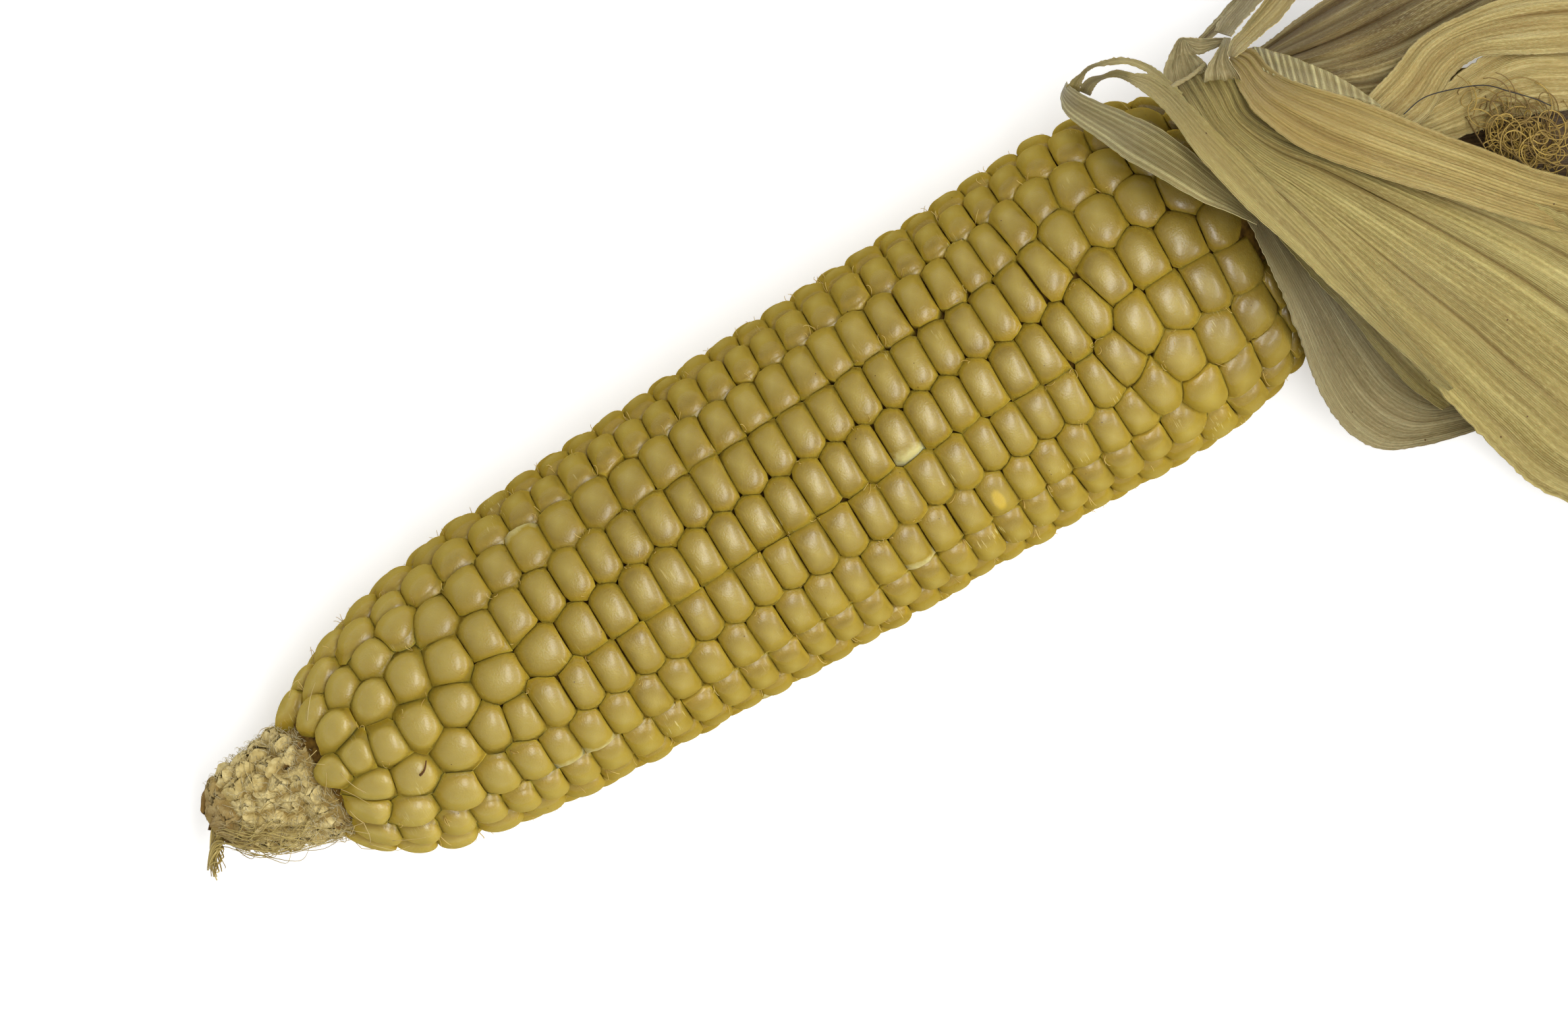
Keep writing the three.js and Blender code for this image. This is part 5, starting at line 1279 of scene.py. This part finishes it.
def fibre_group():
    """Fine streaks that run along a leaf or stalk, from its own across and along values."""
    tree, given, result = group(
        "Fibres", {"Across": ("Float", 0.0), "Along": ("Float", 0.0), "Fineness": ("Float", 3.0),
                   "Stretch": ("Float", 0.12)}, {"Mask": "Float", "Height": "Float"})
    x = math_node(tree, "MULTIPLY", given.outputs["Across"], given.outputs["Fineness"])
    y = math_node(tree, "MULTIPLY", given.outputs["Along"], given.outputs["Stretch"])
    at = add(tree, "ShaderNodeCombineXYZ", {"X": x, "Y": y}).outputs[0]
    coarse = noise(tree, at, 1.0, 4.0)
    tree.links.new(ramp(tree, coarse, 0.3, 0.7), result.inputs["Mask"])
    tree.links.new(coarse, result.inputs["Height"])
    return tree


def use(tree, made, inputs):
    """Places a node group in a material with its own values."""
    return add(tree, "ShaderNodeGroup", inputs, node_tree=made)


def material(name, **fixed):
    """A new material, its tree and its Principled shader, with values that are the same all over."""
    made = bpy.data.materials.new(name)
    made.use_nodes = True
    tree = made.node_tree
    shader = tree.nodes["Principled BSDF"]
    for key, value in fixed.items():
        shader.inputs[key.replace("_", " ")].default_value = value
    return made, tree, shader


def bump(tree, height, distance):
    """The normal of a surface raised by height, up to distance."""
    made = add(tree, "ShaderNodeBump", {"Height": height, "Distance": distance, "Strength": 1.0})
    return made.outputs["Normal"]


def scratches(tree, at):
    """Short fine scratches that run round the ear, a few together here and there."""
    stretched = add(tree, "ShaderNodeMapping", {"Vector": at, "Scale": (5200.0, 420.0, 420.0)}).outputs[0]
    lines = noise(tree, stretched, 1.0, 1.0)
    where = noise(tree, at, 130.0, 2.0)
    return math_node(tree, "MULTIPLY", ramp(tree, lines, 0.62, 0.7), ramp(tree, where, 0.6, 0.7))


def kernel_material(groups):
    """Waxy skin over pale flesh: paler at the crown, partly with a painted glow, deeper in colour in the
    slits, mottled, scratched and specked, and darkened with painted shade near the husk and where seen
    aslant.
    """
    made, tree, shader = material(
        "Kernel wax", Subsurface_Weight=0.85, Subsurface_Scale=0.003, IOR=1.45, Coat_Roughness=0.27)
    shader.inputs["Subsurface Radius"].default_value = (1.0, 0.75, 0.3)
    shade = shades(KERNEL_COLOURS)
    at = place_of(tree)
    tint = attribute(tree, "tint")
    crown = attribute(tree, "crown")
    darker = mix(tree, tint, shade["skin"], shade["dark_skin"])
    flesh = mix(tree, attribute(tree, "pale"), darker, shade["pale_skin"])
    mottled = use(tree, groups["mottle"], {"Place": at, "Scale": 420.0, "Base": flesh,
                                          "Drift": shade["mottle"], "Amount": 0.5})
    # The crown is coloured paler: partly the kernel's own pale core, partly a painted glow of light through
    # its centre.
    lit = mix(tree, ramp(tree, crown, 0.25, 1.0), mottled.outputs["Color"], shade["crown"])
    deep = mix(tree, ramp(tree, crown, 0.25, -0.05), lit, shade["slit"])
    swell = noise(tree, at, 600.0, 3.0)
    reach = math_node(tree, "ADD", attribute(tree, "milky"), math_node(tree, "MULTIPLY", swell, 0.7))
    patched = mix(tree, ramp(tree, reach, 0.78, 1.15), deep, shade["milky"])
    bare = math_node(tree, "ADD", attribute(tree, "wound"), math_node(tree, "MULTIPLY", swell, 0.5))
    open_skin = mix(tree, ramp(tree, bare, 0.62, 1.0), patched, shade["torn"])
    scratched = mix(tree, scratches(tree, at), open_skin, shade["scratch"])
    specks = use(tree, groups["specks"], {"Place": at, "Scale": 700.0, "Size": 0.07, "Share": 0.1})
    speckled = mix(tree, specks.outputs["Mask"], scratched, shade["speck"])
    # Painted shade: close to the husk the kernels are coloured darker, for the husk's shadow over them.
    down_ear = add(tree, "ShaderNodeSeparateXYZ", {"Vector": at}).outputs["X"]
    husk_shade = math_node(tree, "MULTIPLY", ramp(tree, down_ear, *KERNEL_HUSK_SHADE_SPAN), 0.5)
    husk_shaded = mix(tree, husk_shade, speckled, shade["husk_shade"])
    # Painted shade: seen aslant, a kernel is coloured darker, towards the rim colour, and it shines less.
    aslant = add(tree, "ShaderNodeLayerWeight", {"Blend": 0.5}).outputs["Facing"]
    rim = math_node(tree, "MULTIPLY", ramp(tree, aslant, 0.3, 0.95), 0.6)
    tree.links.new(mix(tree, rim, husk_shaded, shade["rim"]), shader.inputs["Base Color"])
    for socket, level in (("Coat Weight", 0.34), ("Specular IOR Level", 0.5)):
        shine = math_node(tree, "MULTIPLY", ramp(tree, aslant, 0.38, 0.15), level)
        tree.links.new(shine, shader.inputs[socket])
    wrinkles = add(tree, "ShaderNodeTexNoise",
                   {"Vector": at, "Scale": 3600.0, "Detail": 2.0, "Roughness": 0.6})
    dimples = noise(tree, at, 900.0, 2.0)
    rough = add(tree, "ShaderNodeMapRange", {"Value": dimples, "From Min": 0.3, "From Max": 0.7,
                                            "To Min": 0.34, "To Max": 0.44})
    tree.links.new(rough.outputs["Result"], shader.inputs["Roughness"])
    height = math_node(tree, "ADD", wrinkles.outputs["Fac"], math_node(tree, "MULTIPLY", dimples, 0.6))
    tree.links.new(bump(tree, height, 0.00007), shader.inputs["Normal"])
    return made


def chaff_material(groups, name):
    """Dry papery chaff, brown where it is old, and darkened with painted shade where it lies deep."""
    made, tree, shader = material(name, Roughness=0.9, Specular_IOR_Level=0.2)
    shade = shades(CHAFF_COLOURS[name])
    at = place_of(tree)
    base = mix(tree, attribute(tree, "tint"), shade["light"], shade["dark"])
    mottled = use(tree, groups["mottle"], {"Place": at, "Scale": 1300.0, "Base": base,
                                          "Drift": shade["deep"], "Amount": 0.7})
    # Painted shade: darker where the chaff lies deep.
    painted_recess_shade = ramp(tree, attribute(tree, "crown"), 0.5, 0.0)
    shaded = mix(tree, painted_recess_shade, mottled.outputs["Color"], shade["deep"])
    aged = mix(tree, attribute(tree, "age"), shaded, linear(*OLD_CHAFF))
    tree.links.new(aged, shader.inputs["Base Color"])
    tree.links.new(bump(tree, noise(tree, at, 2600.0, 4.0), 0.00025), shader.inputs["Normal"])
    return made


def bed_material(groups):
    """The dark chaff deep between kernels."""
    made, tree, shader = material("Dark chaff", Roughness=0.95, Specular_IOR_Level=0.1)
    shade = shades(BED_COLOURS)
    mottled = use(tree, groups["mottle"], {"Place": place_of(tree), "Scale": 900.0,
                                          "Base": shade["light"], "Drift": shade["dark"],
                                          "Amount": 1.0})
    tree.links.new(mottled.outputs["Color"], shader.inputs["Base Color"])
    return made


def leaf_material(groups, name, ridge, valley, stain, fold_shade, margin, stained, streaks=0.55,
                  flecks_seen=0.5, bands=0.35):
    """Dry husk: ribs with a painted highlight on top and painted shade between, hair-fine lines along the
    fibres, painted amber shade in the folds, a pale margin.
    """
    made, tree, shader = material(name, Specular_IOR_Level=0.3, Subsurface_Weight=0.1,
                                  Subsurface_Scale=0.0005)
    ridge, valley, stain, fold_shade, margin = (linear(*seen) for seen in (ridge, valley, stain, fold_shade, margin))
    at = place_of(tree)
    across = attribute(tree, "across")
    along = attribute(tree, "along")
    fibres = use(tree, groups["fibres"], {"Across": across, "Along": along})
    flecks = use(tree, groups["fibres"], {"Across": across, "Along": along, "Fineness": 7.0,
                                          "Stretch": 1.1})
    # Painted highlight on the ridges of the ribs, and painted shade between them.
    ribbed = mix(tree, ramp(tree, attribute(tree, "rib"), 0.0, 0.75), valley, ridge)
    streak = math_node(tree, "MULTIPLY", fibres.outputs["Mask"], streaks)
    streaked = mix(tree, streak, ribbed, valley)
    wide = use(tree, groups["fibres"], {"Across": across, "Along": along, "Fineness": 0.5,
                                        "Stretch": 0.03})
    dark_band = math_node(tree, "MULTIPLY", ramp(tree, wide.outputs["Height"], 0.5, 0.6), bands)
    pale_band = math_node(tree, "MULTIPLY", ramp(tree, wide.outputs["Height"], 0.46, 0.36), bands)
    banded = mix(tree, dark_band, mix(tree, pale_band, streaked, margin), fold_shade)
    fleck = math_node(tree, "MULTIPLY", ramp(tree, flecks.outputs["Height"], 0.48, 0.66), flecks_seen)
    flecked = mix(tree, fleck, banded, margin)
    patchy = use(tree, groups["mottle"], {"Place": at, "Scale": 55.0, "Base": flecked, "Drift": stain,
                                         "Amount": stained})
    # Painted shade in the creases, gathers and pleats.
    crease_shade_amount = math_node(tree, "MULTIPLY", attribute(tree, "hollow"), 0.75)
    crease_shaded = mix(tree, crease_shade_amount, patchy.outputs["Color"], fold_shade)
    at_edge = math_node(tree, "MULTIPLY", ramp(tree, attribute(tree, "edge"), 0.6, 0.05), 0.22)
    edged = mix(tree, at_edge, crease_shaded, margin)
    grain = noise(tree, at, 2300.0, 3.0)
    grained = mix(tree, math_node(tree, "MULTIPLY", ramp(tree, grain, 0.5, 0.72), 0.4), edged, valley)
    specks = use(tree, groups["specks"], {"Place": at, "Scale": 420.0, "Size": 0.07, "Share": 0.08})
    colour = mix(tree, specks.outputs["Mask"], grained, linear(*HUSK_SPECK))
    tree.links.new(colour, shader.inputs["Base Color"])
    rough = add(tree, "ShaderNodeMapRange", {"Value": fibres.outputs["Mask"], "To Min": 0.45, "To Max": 0.65})
    tree.links.new(rough.outputs["Result"], shader.inputs["Roughness"])
    fine = math_node(tree, "SINE", math_node(tree, "MULTIPLY", across, TURN * 4), 0.0)
    lines = math_node(tree, "ADD", fibres.outputs["Height"], math_node(tree, "MULTIPLY", fine, 0.1))
    height = math_node(tree, "ADD", lines, math_node(tree, "MULTIPLY", flecks.outputs["Height"], 0.5))
    tree.links.new(bump(tree, height, 0.0002), shader.inputs["Normal"])
    return made


def silk_material(groups, name):
    """Dry thread, each one its own tint between light and dark."""
    made, tree, shader = material(name, Roughness=0.5, Specular_IOR_Level=0.4)
    shade = shades(SILK_COLOURS[name])
    base = mix(tree, attribute(tree, "tint"), shade["light"], shade["dark"])
    mottled = use(tree, groups["mottle"], {"Place": place_of(tree), "Scale": 500.0, "Base": base,
                                          "Drift": shade["dark"], "Amount": 0.6})
    tree.links.new(mottled.outputs["Color"], shader.inputs["Base Color"])
    return made


# Colours as seen, from 0 to 255, and how much of a leaf is stained.
HUSK_COLOURS = {
    # The ridge colour is a painted highlight on the ribs and the valley colour painted shade between them, as
    # well as the colour of the fibre streaks and grain; the fold colour is painted shade in creases, gathers
    # and pleats.
    "Husk": dict(ridge=(174, 159, 96), valley=(130, 115, 60), stain=(139, 121, 64), fold_shade=(100, 78, 32),
                 margin=(184, 171, 110), stained=0.5),
    "Husk gold": dict(ridge=(180, 164, 106), valley=(146, 127, 72), stain=(156, 134, 76),
                      fold_shade=(116, 88, 38), margin=(196, 184, 132), stained=0.5),
    "Husk ribbed": dict(ridge=(208, 198, 142), valley=(130, 116, 70), stain=(136, 120, 70),
                        fold_shade=(90, 70, 30), margin=(180, 168, 118), stained=0.35, streaks=0.25,
                        flecks_seen=0.3, bands=0.2),
    "Husk warm brown": dict(ridge=(176, 157, 93), valley=(146, 125, 68), stain=(142, 118, 58),
                            fold_shade=(106, 80, 34), margin=(184, 168, 110), stained=0.6),
    "Husk grey tan": dict(ridge=(164, 151, 108), valley=(122, 108, 68), stain=(140, 127, 86),
                          fold_shade=(98, 80, 38), margin=(174, 164, 122), stained=0.6),
    # The banded husk is darker all over, with strong dark bands, as painted shade for the leaves that lie
    # under the others.
    "Husk banded, painted shade": dict(ridge=(182, 168, 116), valley=(112, 94, 48), stain=(128, 108, 58),
                        fold_shade=(74, 54, 16), margin=(190, 178, 130), stained=0.6, bands=1.0),
    "Husk dark, painted shade": dict(ridge=(100, 74, 32), valley=(60, 42, 16), stain=(48, 32, 12), fold_shade=(36, 24, 8),
                      margin=(112, 90, 46), stained=0.7),
}
# Each leaf's finish and material slot, where they aren't plain husk.
LEAF_FINISHES = {
    "husk_inner_dark": ("Husk dark, painted shade", "husk_dark"),
    "husk_brown": ("Husk warm brown", "husk_brown"),
    "husk_lower_back": ("Husk grey tan", "husk_grey"),
    "husk_back_grey": ("Husk banded, painted shade", "husk_grey"),
    "husk_strip_cut": ("Husk grey tan", "husk_grey"),
    "husk_strip_behind": ("Husk banded, painted shade", "husk_grey"),
    "husk_knot_loop": ("Husk grey tan", "husk"),
    "husk_knot_tie": ("Husk grey tan", "husk_grey"),
    "husk_cuff": ("Husk ribbed", "husk"),
    "husk_strip_wide": ("Husk ribbed", "husk"),
    "husk_back_gold": ("Husk gold", "husk"),
    "husk_panel": ("Husk gold", "husk"),
    "husk_strip_back": ("Husk gold", "husk"),
}

# ---- Scene: floor, light and camera ----

VIEW_CENTRE = Vector((-8.45 * MM, -1.58 * MM, 27 * MM))  # straight under the camera
VIEW_ROLL = math.radians(-31.5)  # the ear runs up to the right
VIEW_RIGHT = Vector((math.cos(VIEW_ROLL), math.sin(VIEW_ROLL), 0))
VIEW_UP = Vector((-math.sin(VIEW_ROLL), math.cos(VIEW_ROLL), 0))
VIEW_DISTANCE = 5.0
VIEW_WIDTH = 226.67 * MM
SENSOR = 36.0
FLOOR_HALF = 3.0
FLOOR_DROP = -0.0002  # a hair under the ear, so that the two don't share a face


def make_camera():
    """A camera straight overhead, turned so that the ear runs up to the right."""
    data = bpy.data.cameras.new("camera")
    data.sensor_width = SENSOR
    data.lens = SENSOR * VIEW_DISTANCE / VIEW_WIDTH
    data.clip_end = 20
    made = bpy.data.objects.new("camera", data)
    made.location = VIEW_CENTRE + Vector((0, 0, VIEW_DISTANCE))
    made.rotation_euler = (0, 0, VIEW_ROLL)
    bpy.context.scene.collection.objects.link(made)
    bpy.context.scene.camera = made


def strip_light(name, lean, distance, size, power):
    """A long soft light, leaning from overhead to the right of the view, its length up the view."""
    towards = VIEW_RIGHT * math.sin(math.radians(lean)) + Vector((0, 0, math.cos(math.radians(lean))))
    data = bpy.data.lights.new(name, "AREA")
    data.shape = "RECTANGLE"
    data.size, data.size_y = size
    data.energy = power
    made = bpy.data.objects.new(name, data)
    turned = Matrix((VIEW_UP.cross(towards), VIEW_UP, towards)).transposed().to_4x4()
    made.matrix_world = Matrix.Translation(VIEW_CENTRE + towards * distance) @ turned
    made.visible_camera = False
    bpy.context.scene.collection.objects.link(made)


def make_stage():
    """A plain white floor, soft white light all round, and two long lights."""
    data = bpy.data.meshes.new("floor")
    corners = [(-1, -1), (1, -1), (1, 1), (-1, 1)]
    data.from_pydata([(x * FLOOR_HALF, y * FLOOR_HALF, FLOOR_DROP) for x, y in corners], [], [(0, 1, 2, 3)])
    made, _, shader = material("Floor", Roughness=1.0, Specular_IOR_Level=0.0)
    shader.inputs["Base Color"].default_value = (0.9, 0.9, 0.9, 1)
    shader.inputs["Emission Color"].default_value = (1, 1, 1, 1)
    shader.inputs["Emission Strength"].default_value = 0.35
    data.materials.append(made)
    floor = bpy.data.objects.new("floor", data)
    bpy.context.scene.collection.objects.link(floor)
    world = bpy.data.worlds.new("soft light")
    world.use_nodes = True
    world.node_tree.nodes["Background"].inputs["Color"].default_value = (1, 1, 1, 1)
    world.node_tree.nodes["Background"].inputs["Strength"].default_value = 0.36
    bpy.context.scene.world = world
    strip_light("overhead light", lean=9, distance=2.4, size=(0.56, 2.2), power=54)
    strip_light("side light", lean=60, distance=2.4, size=(0.26, 2.4), power=32)
    bpy.context.scene.view_settings.view_transform = "Standard"


make_camera()
make_stage()

groups = {"mottle": mottle_group(), "specks": specks_group(), "fibres": fibre_group()}
husks = {name: leaf_material(groups, name, **colours) for name, colours in HUSK_COLOURS.items()}

make_kernels(kernel_material(groups))
make_kernel_bed(bed_material(groups))
make_silk_scars(silk_material(groups, "Silk scar"))
make_cob(chaff_material(groups, "Chaff"))
make_sliver(chaff_material(groups, "Brown chip"))
make_shank(chaff_material(groups, "Stalk"))
for leaf_name, shape in LEAVES.items():
    finish, slot = LEAF_FINISHES.get(leaf_name, ("Husk", "husk"))
    leaf(leaf_name, husks[finish], slot, **shape)
make_knot_roll(husks["Husk grey tan"])
make_tip_silk(silk_material(groups, "Tip silk"))
make_fuzz(silk_material(groups, "Chaff hair"))
make_loose_silk(silk_material(groups, "Loose silk"))
make_husk_silk(silk_material(groups, "Brown silk"))
make_black_thread(silk_material(groups, "Black thread"))
